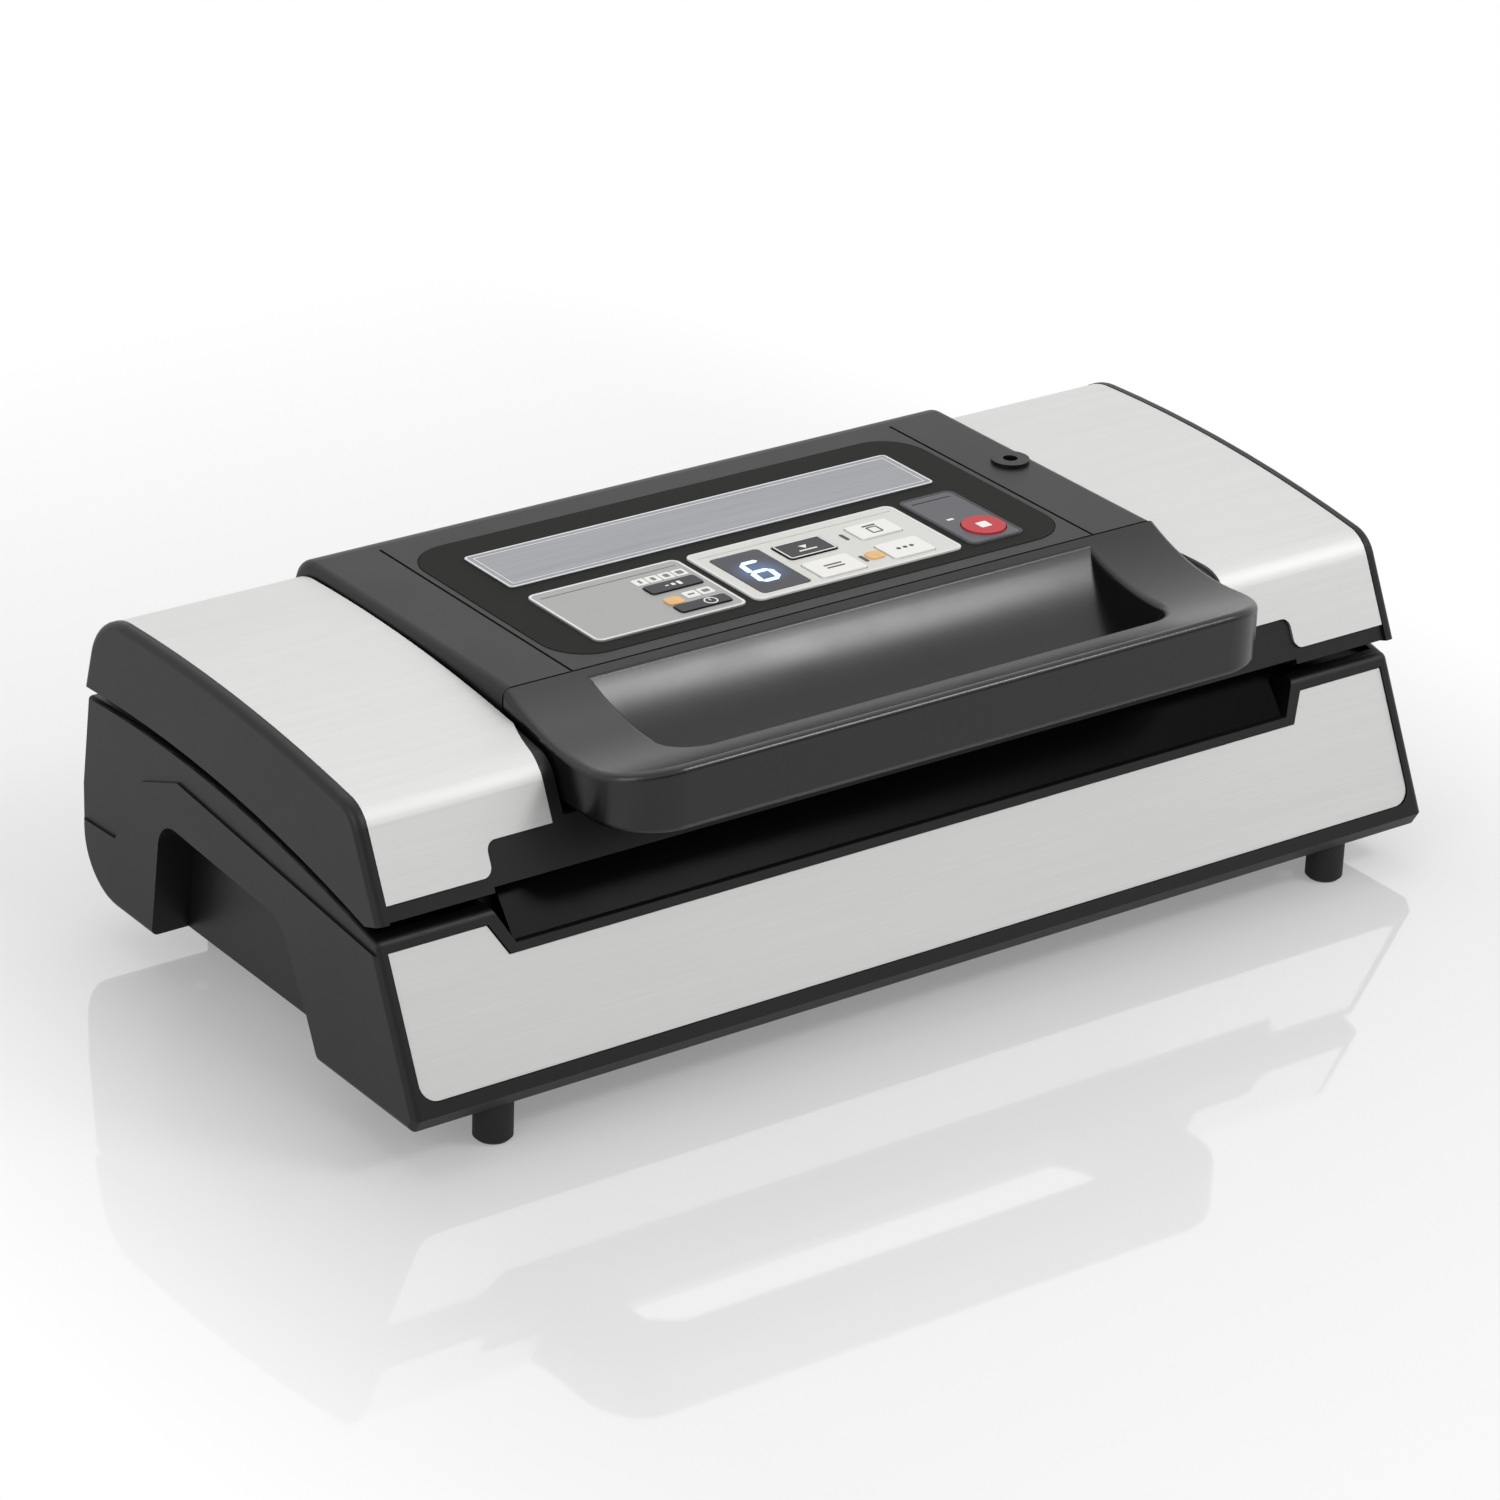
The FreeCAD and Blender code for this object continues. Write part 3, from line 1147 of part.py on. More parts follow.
def make_console():
    body = new_body("console")
    foot = console_front + size.console_run
    back = foot - size.console_lean
    outline = [(console_front, console_seat), (foot, console_seat), (back, console_top),
               (console_front, console_top)]
    add(body, "YZ", 0, [outline], size.console_width, symmetric=True)
    round_edges(body, size.console_round, along_x((back, console_top)))
    round_edges(body, size.console_edge, end_edges(console_half, console_seat + 1))
    inner = console_half - size.wall
    hollow = rect(-inner, console_front + size.wall, inner, back - size.wall)
    cut(body, "XY", console_skin, [hollow], console_skin - console_seat)
    posts = [(x, y, size.boss_radius) for x in (-board_half, board_half) for y in (board_front, board_back)]
    add(body, "XY", board_top, posts, size.board_drop + 1)
    lift = console_top + size.wall
    cut(body, "XY", lift, [inlay_wire(0)], size.wall + size.inlay_seat)
    bed = size.bed_width / 2
    groove = both_sides(bed - size.bed_groove, console_front - 1, bed, back - size.console_round)
    cut(body, "XY", lift, groove, size.wall + size.bed_groove / 2)
    cut(body, "XY", lift, console_holes(size.key_play), 3 * size.wall)
    cut(body, "XY", lift, [window_wire(-size.window_ledge)], 3 * size.wall)
    cut(body, "XY", lift, [(size.port_x, port_y, size.port_body + size.fit)], lift - console_seat)
    return body


def make_panel_layers():
    inlay = new_body("control_inlay")
    add(inlay, "XY", panel_top - size.inlay_thickness, [inlay_wire(size.fit)], size.inlay_thickness)
    cut(inlay, "XY", panel_top, console_holes(size.key_play), size.inlay_thickness)
    cut(inlay, "XY", panel_top, [window_wire(size.fit)], size.inlay_thickness)
    strip = new_body("trim_strip")
    side = size.strip_width / 2
    foot = console_front + size.strip_setback
    outline = round_rect(-side, foot, side, foot + size.strip_run, size.strip_corner)
    add(strip, "XY", panel_top, [outline], size.plate_rise)
    plate_back = plate_front + size.plate_run
    for name, (left, right) in plate_spans().items():
        plate = new_body(f"{name}_plate")
        outline = round_rect(left, plate_front, right, plate_back, size.plate_corner)
        add(plate, "XY", panel_top, [outline], size.plate_rise)
        holes = [key_wire(place, size.key_play) for place in key_places().values() if place[0] == name]
        if name == "centre":
            holes.append(window_wire(size.fit))
        cut(plate, "XY", plate_face, holes, size.plate_rise)
        line = plate_back - size.plate_line_setback
        engraved = rect(left + size.plate_corner, line, right - size.plate_corner,
                        line + size.plate_line_width)
        cut(plate, "XY", plate_face, [engraved], size.plate_line_depth)
    window = new_body("display_window")
    thick = size.inlay_thickness + size.plate_rise
    add(window, "XY", panel_top - size.inlay_thickness, [window_wire(0)], thick)
    for name, place in key_places().items():
        key = new_body(name)
        add(key, "XY", key_foot, [key_wire(place, 0)], key_face - key_foot)
        add(key, "XY", key_foot, [key_wire(place, size.key_flange)], size.key_flange_height)
    lamps = new_body("indicator_lamps")
    wide, run = size.lamp_width / 2, size.lamp_run / 2
    for name in ("left", "centre"):
        x = plate_spans()[name][0] + getattr(size, f"{name}_lamp_across")
        y = plate_front + getattr(size, f"{name}_lamp_back")
        add(lamps, "XY", plate_face, [round_rect(x - wide, y - run, x + wide, y + run, size.lamp_corner)],
            size.key_rise)


def make_control_pieces():
    board = new_body("control_board")
    edge = size.boss_radius + 1
    outline = rect(-board_half - edge, board_front - edge, board_half + edge, board_back + edge)
    add(board, "XY", board_top - size.board_thickness, [outline], size.board_thickness)
    switches = new_body("tact_switches")
    wide = size.switch_size / 2
    tall = key_foot - size.key_travel - board_top
    for _, x, y, *_ in key_places().values():
        add(switches, "XY", board_top, [rect(x - wide, y - wide, x + wide, y + wide)], tall * 0.6)
        add(switches, "XY", board_top, [(x, y, size.screw_radius)], tall - size.pin_play)
    module = new_body("display_module")
    inside = window_wire(-size.window_ledge - size.fit)
    add(module, "XY", board_top, [inside], console_skin - board_top + size.wall / 2)
    port = new_body("accessory_port")
    at = (size.port_x, port_y)
    foot = console_seat + size.fit
    add(port, "XY", console_top, [(*at, size.port_radius)], size.port_ring)
    add(port, "XY", foot, [(*at, size.port_body)], console_top - foot)
    spigot = size.port_bore + size.tube_wall
    add(port, "XY", foot - size.port_spigot, [(*at, spigot)], size.port_spigot)
    cut(port, "XY", console_top + size.wall, [(*at, size.port_bore)], console_top)
    tube = new_body("accessory_tube")
    hollow = spigot + size.pin_play / 3
    add(tube, "XY", rear_liner_top, [(*at, hollow + size.tube_wall), (*at, hollow)], foot - rear_liner_top)


# Handle


def make_handle():
    body = new_body("handle")
    side = console_half
    back = console_front - size.handle_seam
    bottom = size.handle_front_height - size.handle_front_drop
    lift = console_top + size.wall
    add(body, "XY", bottom, [rect(-side, front, side, back)], lift - bottom)
    round_edges(body, size.handle_corner, along_z((side, front)))
    web_foot = well_floor + size.web_clearance
    scoop_top = back - size.scoop_setback
    slot_front = front + size.handle_bar
    scoop_foot = scoop_top - size.scoop_run
    slot = [(scoop_foot, bottom - 1), (scoop_foot, web_foot, size.scoop_radius), (scoop_top, console_top),
            (scoop_top, lift + 1), (slot_front, lift + 1), (slot_front, bottom - 1)]
    inner = side - size.arm_width
    cut(body, "YZ", 0, [slot], 2 * inner, symmetric=True)
    round_edges(body, size.slot_corner, along_z((inner, slot_front)))
    cut(body, "YZ", 0, [saddle_outline(back, lift)], size.width, symmetric=True)
    arm_front = slot_front + 2 * size.wall
    cut(body, "YZ", 0, [rect(arm_front, bottom - 1, rear, web_foot)], size.width, symmetric=True)
    cut(body, "YZ", side + 1, [(shaft_y, shaft_z, size.shaft_radius + size.pin_play / 3)], 2 * side + 2)
    round_edges(body, size.handle_lip, saddle_edges(back))
    round_edges(body, size.handle_foot_round, bar_foot_edges(bottom))


def saddle_edges(back):
    """Edges around the handle's top, apart from the seam and the scoop's top edge."""
    def chosen(edge):
        spots = [edge.valueAt(edge.FirstParameter + part * (edge.LastParameter - edge.FirstParameter))
                 for part in (0.1, 0.5, 0.9)]
        low = all(spot.z < float(console_top) - 0.4 and spot.y < float(back) - 3 for spot in spots)
        return low and all(on_saddle(spot, back) for spot in spots)
    return chosen


def on_saddle(spot, back):
    """True for a place on the hollow cylinder of the handle's top."""
    low = Vector(float(front), float(size.handle_front_height), 0)
    high = Vector(float(back), float(console_top), 0)
    chord = high - low
    left = Vector(-chord.y, chord.x, 0).normalize()
    radius = float(size.handle_saddle)
    centre = (low + high) / 2 + left * math.sqrt(radius * radius - chord.Length * chord.Length / 4)
    return abs((Vector(spot.y, spot.z, 0) - centre).Length - radius) < 0.02


def bar_foot_edges(bottom):
    """Edges under the front of the grip bar."""
    middle = float(front + size.handle_bar / 2)

    def chosen(edge):
        spots = [edge.valueAt(edge.FirstParameter), edge.valueAt(edge.LastParameter)]
        return all(near(spot.z, bottom) for spot in spots) and edge.CenterOfMass.y < middle
    return chosen


def saddle_outline(back, lift):
    """Everything above the handle's saddle-shaped top."""
    lip = size.handle_front_height
    return [(front - 1, lift + 1), (front - 1, lip), (front, lip, size.handle_saddle), (back, console_top),
            (back + 1, console_top), (back + 1, lift + 1)]


def make_latch():
    shaft = half - size.shaft_inset
    rods("handle_shaft", size.shaft_radius, 2 * shaft, [(-shaft, shaft_y, shaft_z)])
    body = new_body("latch_hooks")
    stem = size.hook_stem / 2
    foot = nose_top - size.hook_nose_height
    outline = [(shaft_y - stem, foot), (nose_tip, foot), (nose_tip, nose_top), (shaft_y + stem, nose_top),
               (shaft_y + stem, shaft_z), (shaft_y - stem, shaft_z)]
    bore = size.shaft_radius + size.pin_play / 3
    for x in (-hook_x, hook_x):
        level = x - size.hook_width / 2
        add(body, "YZ", level, [outline], size.hook_width)
        add(body, "YZ", level, [(shaft_y, shaft_z, size.hook_eye)], size.hook_width)
        cut(body, "YZ", level + size.hook_width, [(shaft_y, shaft_z, bore)], size.hook_width)


make_base_housing()
make_bag_ledge()
make_front_panel()
make_base_plate()
make_rubber_feet()
make_base_screws()
make_chamber_pieces()
make_vacuum_path()
make_power_pieces()
make_hinge_and_keepers()
make_lid_frame()
make_steel_cover("left_steel_cover", True)
make_steel_cover("right_steel_cover", False)
make_lid_liner()
make_lid_seals()
make_console()
make_panel_layers()
make_control_pieces()
make_handle()
make_latch()
doc.recompute()

failed = [part.Name for part in doc.Objects if {"Invalid", "Error"} & set(part.State)]
if failed:
    raise RuntimeError(f"failed features: {failed}")
idle = [pocket.Name for pocket in doc.findObjects("PartDesign::Pocket")
        if pocket.Shape.Volume > pocket.BaseFeature.Shape.Volume - 0.01]
if idle:
    raise RuntimeError(f"pockets that cut nothing: {idle}")
os.makedirs("parts", exist_ok=True)
nodes = doc.findObjects("PartDesign::Body") + doc.findObjects("Part::Box")
for node in nodes:
    if node.Shape.isNull() or not node.Shape.isValid():
        raise RuntimeError(f"{node.Label}: no valid shape")
    node.Shape.exportStep(f"parts/{node.Label}.step")
    print(node.Label, len(node.Shape.Solids), round(node.Shape.Volume))
print(len(nodes), "nodes")
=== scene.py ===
# %% [markdown]
# # Dressing a countertop vacuum sealer
#
# The machine arrives as finished solids, each piece at its real size and place. This lesson gives every
# piece its finish, prints the control panel, lights the display and sets up a small studio round it.
# Lengths are in metres, +X runs to the machine's right, +Y to its back and +Z up. Sizes read off the
# object are written in millimetres.

# %% Load the solids
import json
import math

import bmesh
import bpy
from mathutils import Matrix, Vector


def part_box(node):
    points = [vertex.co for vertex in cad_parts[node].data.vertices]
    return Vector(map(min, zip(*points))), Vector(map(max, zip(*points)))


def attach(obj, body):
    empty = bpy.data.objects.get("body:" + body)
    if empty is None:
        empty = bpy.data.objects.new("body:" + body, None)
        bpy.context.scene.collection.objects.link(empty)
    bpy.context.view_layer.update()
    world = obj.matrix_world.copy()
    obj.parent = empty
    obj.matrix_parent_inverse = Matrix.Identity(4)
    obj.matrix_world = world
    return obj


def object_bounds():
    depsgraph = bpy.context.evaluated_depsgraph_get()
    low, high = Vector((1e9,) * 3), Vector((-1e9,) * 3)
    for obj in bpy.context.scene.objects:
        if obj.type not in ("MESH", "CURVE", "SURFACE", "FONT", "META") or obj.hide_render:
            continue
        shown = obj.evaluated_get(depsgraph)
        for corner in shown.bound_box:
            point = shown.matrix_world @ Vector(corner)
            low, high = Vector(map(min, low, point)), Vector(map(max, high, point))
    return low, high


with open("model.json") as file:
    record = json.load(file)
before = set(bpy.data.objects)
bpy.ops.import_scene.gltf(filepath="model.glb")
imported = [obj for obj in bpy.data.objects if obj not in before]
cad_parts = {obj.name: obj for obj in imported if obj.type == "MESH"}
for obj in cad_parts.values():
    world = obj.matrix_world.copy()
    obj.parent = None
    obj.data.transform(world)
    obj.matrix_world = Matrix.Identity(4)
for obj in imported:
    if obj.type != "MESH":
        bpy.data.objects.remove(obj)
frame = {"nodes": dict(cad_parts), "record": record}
cad_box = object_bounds()
nodes = frame["nodes"]
MM = 0.001

# %% [markdown]
# ## Colours and shader nodes
#
# Colours are read off a picture as sRGB hex, but shaders work in linear light, so one function converts
# them. Materials could be built by hand in the shader editor. In a script one small function is enough:
# it adds a node, changes its settings, and gives each input a plain value or a link from another node.
# Patterns are given by a real size, and a texture's scale is how many of them fit in a metre.


# %% Colour and scale
def linear(hex_colour):
    """A colour written as sRGB hex, as linear red, green, blue and alpha."""
    values = [int(hex_colour[i:i + 2], 16) / 255 for i in (1, 3, 5)]
    return (*[v / 12.92 if v <= 0.04045 else ((v + 0.055) / 1.055) ** 2.4 for v in values], 1.0)


def per_metre(size_mm):
    """The texture scale at which one cell of a pattern measures size_mm."""
    return 1 / (size_mm * MM)


print("mid grey is", round(linear("#808080")[0], 3), "in linear light")


# %% Shader nodes
def plug(node, inputs):
    """Set each named input of a node, or link it where the value is another node's output."""
    for name, value in inputs.items():
        if isinstance(value, bpy.types.NodeSocket):
            node.id_data.links.new(value, node.inputs[name])
        else:
            node.inputs[name].default_value = value
    return node


def add_node(tree, kind, inputs, **settings):
    """Add one node to a material, with its settings and links."""
    node = tree.nodes.new(kind)
    for name, value in settings.items():
        setattr(node, name, value)
    return plug(node, inputs)


def start_material(name):
    """A new material, its node tree, its main shader and the place on the object in metres."""
    material = bpy.data.materials.new(name)
    material.use_nodes = True
    tree = material.node_tree
    place = add_node(tree, "ShaderNodeTexCoord", {}).outputs["Object"]
    return material, tree, tree.nodes["Principled BSDF"], place


# A Mix node has sockets of the same name for every type of value, so its colour ones go by number.
MIX_FACTOR, MIX_A, MIX_B, MIX_COLOUR = 0, 6, 7, 2
print("node helpers ready")

# %% [markdown]
# ## Moulded plastic
#
# The housing, lid, console and handle are ABS, injected into steel moulds whose faces were spark-eroded.
# That leaves a fine pebble on the skin, which scatters light, and a slow drift in gloss where the melt
# cooled unevenly. A flat black would do for a toy. Here one noise drives colour and gloss together and a
# finer one raises the pebble as a bump, because modelling thousands of tiny bumps would cost far more and
# look the same.

# %% Moulded skin
NOISE_LOW, NOISE_HIGH = 0.3, 0.7    # most values of a noise lie between these two
COOLING_MM = 30                     # how far apart the mould's glossier and duller areas lie
COOLING_SPREAD = 0.02               # how far the roughness drifts to either side there
ABS_IOR = 1.53


def shade(tree, shader, pattern, dark, light, roughness, spread):
    """Let one pattern drive a finish's colour and its roughness together."""
    tint = add_node(tree, "ShaderNodeMix",
                    {MIX_FACTOR: pattern, MIX_A: linear(dark), MIX_B: linear(light)}, data_type="RGBA")
    gloss = add_node(tree, "ShaderNodeMapRange",
                     {"Value": pattern, "From Min": NOISE_LOW, "From Max": NOISE_HIGH,
                      "To Min": roughness - spread, "To Max": roughness + spread})
    plug(shader, {"Base Color": tint.outputs[MIX_COLOUR], "Roughness": gloss.outputs["Result"]})


def moulded(name, dark, light, roughness, pebble_mm, depth_mm, specular, ior=ABS_IOR):
    """Plastic or rubber out of a mould: a drift in gloss, and a pebble pressed into the skin."""
    material, tree, shader, place = start_material(name)
    drift = add_node(tree, "ShaderNodeTexNoise",
                     {"Vector": place, "Scale": per_metre(COOLING_MM), "Detail": 4.0, "Roughness": 0.6})
    shade(tree, shader, drift.outputs["Fac"], dark, light, roughness, COOLING_SPREAD)
    pebble = add_node(tree, "ShaderNodeTexNoise",
                      {"Vector": place, "Scale": per_metre(pebble_mm), "Detail": 2.0, "Roughness": 0.6})
    skin = add_node(tree, "ShaderNodeBump",
                    {"Height": pebble.outputs["Fac"], "Strength": 0.4, "Distance": depth_mm * MM})
    plug(shader, {"Normal": skin.outputs["Normal"], "IOR": ior, "Specular IOR Level": specular})
    return material


print("moulded skin drifts over", COOLING_MM, "mm")

# %% Moulded pieces
# The real pebble is about 0.1 mm; it is drawn coarser so that it shows in the render. Specular levels below
# Blender's usual 0.5 were matched to the object.
PEBBLE_MM = 0.7
FINISHES = {
    # Spark-eroded ABS: deep black with only a broad, dull sheen.
    "black_plastic": moulded("abs_spark_eroded_black", "#080809", "#0c0d0e", roughness=0.44,
                             pebble_mm=PEBBLE_MM, depth_mm=0.02, specular=0.28),
    # A finer eroded mould: charcoal with a soft silky highlight along its curves.
    "satin_plastic": moulded("abs_satin_charcoal", "#08090a", "#0c0d0f", roughness=0.25,
                             pebble_mm=PEBBLE_MM, depth_mm=0.002, specular=0.41),
    # A polished mould face of black ABS, its shine cut nearly to nothing and its colour the deepest black as
    # painted shade for the handle's shadow, so only a faint blurred streak is left.
    "ledge_plastic": moulded("abs_polished_black_painted_shade", "#060707", "#090a0a", roughness=0.22,
                             pebble_mm=PEBBLE_MM, depth_mm=0.003, specular=0.03),
    # Moulded nitrile rubber: black and almost without shine.
    "rubber": moulded("nitrile_rubber_moulded", "#101011", "#18181a", roughness=0.75,
                      pebble_mm=1.2, depth_mm=0.03, specular=0.4, ior=1.52),
    # Moulded silicone: grey, soft and a little waxy.
    "silicone": moulded("silicone_moulded_grey", "#47484a", "#525355", roughness=0.55,
                        pebble_mm=1.5, depth_mm=0.02, specular=0.4, ior=1.41),
    # Moulded glass-filled nylon: grey with a dry, slightly fibrous skin.
    "grey_plastic": moulded("nylon_glass_filled_grey", "#56575a", "#626366", roughness=0.55,
                            pebble_mm=1.0, depth_mm=0.03, specular=0.4),
    # Moulded polypropylene: pale, smooth and milky.
    "clear_tray": moulded("polypropylene_milky", "#a3a6a8", "#afb2b4", roughness=0.3,
                          pebble_mm=3.0, depth_mm=0.005, specular=0.5, ior=1.49),
}
print(len(FINISHES), "moulded finishes")

# %% [markdown]
# ## Brushed and drawn metal
#
# The covers and the front panel are stainless sheet, drawn through abrasive rollers along their length
# before they were cut and folded. The scratches all run one way, so the sheet looks pale and even, with
# faint long streaks and a highlight that smears across them. An anisotropic shader would need a direction
# on every face. Stretching a noise along X and using it for brightness, roughness and a shallow bump
# follows the folds by itself. Plated screws, the seal bar and the silver strip on the panel have lines of
# the same kind.

# %% Brushed surface
SCRATCH_LENGTH_MM = 70
SCRATCH_SPREAD = 0.05   # how far the roughness varies from one scratch to the next


def brushed(name, dark, light, roughness, scratch_mm, depth_mm):
    """Metal drawn along X, with scratches of one width and depth."""
    material, tree, shader, place = start_material(name)
    along, across = per_metre(SCRATCH_LENGTH_MM), per_metre(scratch_mm)
    lie = add_node(tree, "ShaderNodeMapping", {"Vector": place, "Scale": (along, across, across)})
    scratch = add_node(tree, "ShaderNodeTexNoise",
                       {"Vector": lie.outputs["Vector"], "Scale": 1.0, "Detail": 4.0, "Roughness": 0.7})
    shade(tree, shader, scratch.outputs["Fac"], dark, light, roughness, SCRATCH_SPREAD)
    groove = add_node(tree, "ShaderNodeBump",
                      {"Height": scratch.outputs["Fac"], "Strength": 0.3, "Distance": depth_mm * MM})
    plug(shader, {"Normal": groove.outputs["Normal"], "Metallic": 1.0})
    return material


print("scratches run", SCRATCH_LENGTH_MM, "mm along the machine")

# %% Metal pieces
FINISHES.update({
    # Roller-brushed stainless: bright, even and soft, with long faint streaks. Real scratches are about
    # 0.1 mm apart, and they are drawn four times as coarse so that they show.
    "brushed_steel": brushed("stainless_steel_brushed", "#b9b9b8", "#d5d5d4", roughness=0.6,
                             scratch_mm=0.4, depth_mm=0.002),
    # Zinc-plated steel: greyer, with the faint drawing lines of the wire or strip below the plating.
    "zinc_steel": brushed("steel_zinc_plated", "#a2a29e", "#bbbbb6", roughness=0.34,
                          scratch_mm=1.0, depth_mm=0.004),
    # Extruded aluminium: pale and satin, with die lines along the bar.
    "aluminium": brushed("aluminium_extruded", "#b4b5b7", "#cdced0", roughness=0.36,
                         scratch_mm=0.8, depth_mm=0.006),
    # Metallised polyester film: cool silver with soft streaks that brighten and dim as the light moves.
    "silver_trim": brushed("polyester_film_metallised", "#7b7d82", "#a6a8ac", roughness=0.4,
                           scratch_mm=1.2, depth_mm=0.003),
})
print(len(FINISHES), "finishes with the metals")

# %% [markdown]
# ## Printed films and lacquered keys
#
# The control bed and its three plates are polyester and polycarbonate films, screen-printed on the back
# and laid in shallow recesses. The film's top has a very fine matt coating, so the print looks even but
# not wet. The keys are lacquered to go with it. A photograph of a label would be the usual shortcut. A
# noise at the grain of the print, under a thin clear coat where the film has one, gives the same depth
# and stays sharp at any distance.

# %% Printed surface
PRINT_GRAIN_MM = 0.5    # real screen grain is about 0.1 mm, drawn coarser so that it shows
PRINT_SPREAD = 0.04     # how far the roughness varies over the grain
TOOTH_MM = 0.01         # the height of the matt coating's grain
FILM_IOR = 1.57
COAT_ROUGHNESS = 0.2


def printed_film(name, dark, light, roughness, coat=0.2, metallic=0.0, specular=0.5):
    """Ink or lacquer with the fine grain of a print, under a clear coat where it has one."""
    material, tree, shader, place = start_material(name)
    grain = add_node(tree, "ShaderNodeTexNoise",
                     {"Vector": place, "Scale": per_metre(PRINT_GRAIN_MM), "Detail": 3.0, "Roughness": 0.7})
    shade(tree, shader, grain.outputs["Fac"], dark, light, roughness, PRINT_SPREAD)
    tooth = add_node(tree, "ShaderNodeBump",
                     {"Height": grain.outputs["Fac"], "Strength": 0.15, "Distance": TOOTH_MM * MM})
    plug(shader, {"Normal": tooth.outputs["Normal"], "Metallic": metallic, "IOR": FILM_IOR,
                  "Specular IOR Level": specular, "Coat Weight": coat, "Coat Roughness": COAT_ROUGHNESS})
    return material


print("print grain", PRINT_GRAIN_MM, "mm")

# %% Films, keys and boards
FINISHES.update({
    # Matt polycarbonate film over black: a warm, very dark grey that hardly shines.
    "inlay": printed_film("polycarbonate_film_matt", "#2a2a28", "#30302e", 0.6, coat=0.0, specular=0.02),
    # Silver ink on polyester: a plain light grey with a trace of sparkle.
    "light_plate": printed_film("polyester_film_silver_ink", "#979796", "#a6a6a5", 0.42, coat=0.15,
                                metallic=0.3),
    # Ivory ink on polyester: warm off-white, even and soft.
    "white_plate": printed_film("polyester_film_ivory_ink", "#d3d3ce", "#dcdcd7", 0.45),
    # Slate ink on polyester: mid grey with a little blue.
    "dark_plate": printed_film("polyester_film_slate_ink", "#46474c", "#505156", 0.45, coat=0.0,
                               specular=0.35),
    # White lacquer on ABS: brighter and a little smoother than the film round it.
    "white_key": printed_film("abs_lacquered_white", "#ecebe7", "#f3f2ee", 0.38),
    # Graphite lacquer on ABS: nearly black, with a grey bloom where it mirrors the room.
    "dark_key": printed_film("abs_lacquered_graphite", "#1a1b1f", "#222327", 0.42, coat=0.0, specular=0.22),
    # Red lacquer on ABS: a deep red, its shine kept low so that the colour stays full.
    "red_key": printed_film("abs_lacquered_red", "#b90d22", "#c4152b", 0.4, coat=0.0, specular=0.25),
    # Solder lacquer on glass epoxy: the shiny green of a circuit board.
    "board": printed_film("glass_epoxy_lacquered", "#1c5a2f", "#226a39", 0.35, coat=0.3),
})
print(len(FINISHES), "finishes with the films")

# %% Inks
FINISHES.update({
    # White screen ink: a thin matt layer, whiter than the keys.
    "white_ink": printed_film("screen_ink_white", "#f0f0ec", "#f7f7f4", 0.5, coat=0.0),
    # Black screen ink: a soft, dull black.
    "black_ink": printed_film("screen_ink_black", "#26262a", "#2d2d31", 0.5, coat=0.0),
    # Grey screen ink: a middle grey that reads as fine print on the white tiles.
    "grey_ink": printed_film("screen_ink_grey", "#6d6e71", "#77787b", 0.5, coat=0.0),
    # Bare polyester at a plate's border: paler than the ink inside it.
    "silver_rim": printed_film("polyester_film_bare_edge", "#dadbdc", "#e4e5e6", 0.35, coat=0.3,
                               metallic=0.2),
})
print(len(FINISHES), "finishes with the inks")

# %% [markdown]
# ## Woven tape, wound wire and stacked sheet
#
# Three inner pieces are made of repeating strands: the non-stick tape over the seal bar is glass cloth
# soaked in PTFE, the transformer's coil is lacquered copper wire, and its core is a stack of thin
# silicon-steel sheets. Each could be modelled strand by strand, but they sit deep inside. A wave texture
# at a spacing given in millimetres draws the strands in colour and in relief, and one function serves all
# three.

# %% Stranded finishes
WAVE_UNITS = 2 * math.pi / 20   # the length of one wave of Blender's wave texture, in texture units
RELIEF = 0.2                    # how far a strand stands up, as a share of its width


def stranded(name, dark, light, strand_mm, direction, metallic, roughness):
    """Strands side by side, each strand_mm wide, in colour and in relief."""
    material, tree, shader, place = start_material(name)
    strands = add_node(tree, "ShaderNodeTexWave",
                       {"Vector": place, "Scale": per_metre(strand_mm) * WAVE_UNITS, "Distortion": 0.2},
                       bands_direction=direction)
    tint = add_node(tree, "ShaderNodeMix", {MIX_FACTOR: strands.outputs["Fac"], MIX_A: linear(dark),
                                            MIX_B: linear(light)}, data_type="RGBA")
    relief = add_node(tree, "ShaderNodeBump", {"Height": strands.outputs["Fac"], "Strength": 0.6,
                                               "Distance": RELIEF * strand_mm * MM})
    plug(shader, {"Base Color": tint.outputs[MIX_COLOUR], "Normal": relief.outputs["Normal"],
                  "Metallic": metallic, "Roughness": roughness})
    return material


FINISHES.update({
    # Glass cloth with PTFE: tan, with fine ribs across the tape. Real threads are about 0.5 mm apart, and
    # they are drawn coarser so that they show.
    "tape": stranded("glass_cloth_ptfe", "#8a7757", "#a08d6b", 0.8, "X", metallic=0.0, roughness=0.45),
    # Lacquered copper wire: warm brown-red turns side by side.
    "copper": stranded("copper_wire_lacquered", "#7c3f22", "#b06a40", 0.9, "Z", metallic=1.0, roughness=0.3),
    # Stacked silicon steel: dark grey with the edges of the sheets showing. Real sheets are about 0.5 mm
    # thick, and they are drawn coarser so that they show.
    "laminations": stranded("silicon_steel_stacked", "#434343", "#656565", 1.0, "Y", metallic=1.0,
                            roughness=0.5),
})
print(len(FINISHES), "finishes in all but the lit ones")

# %% [markdown]
# ## Lit pieces
#
# The display is a smoked acrylic window over a light module, and two lamps stand beside the keys as small
# amber lenses. When the machine is on, the window glows softly round its digit. Blender could scatter
# real light inside the acrylic, which is slow and noisy at this size. A little emission that fades with
# the distance from the digit gives the same halo.

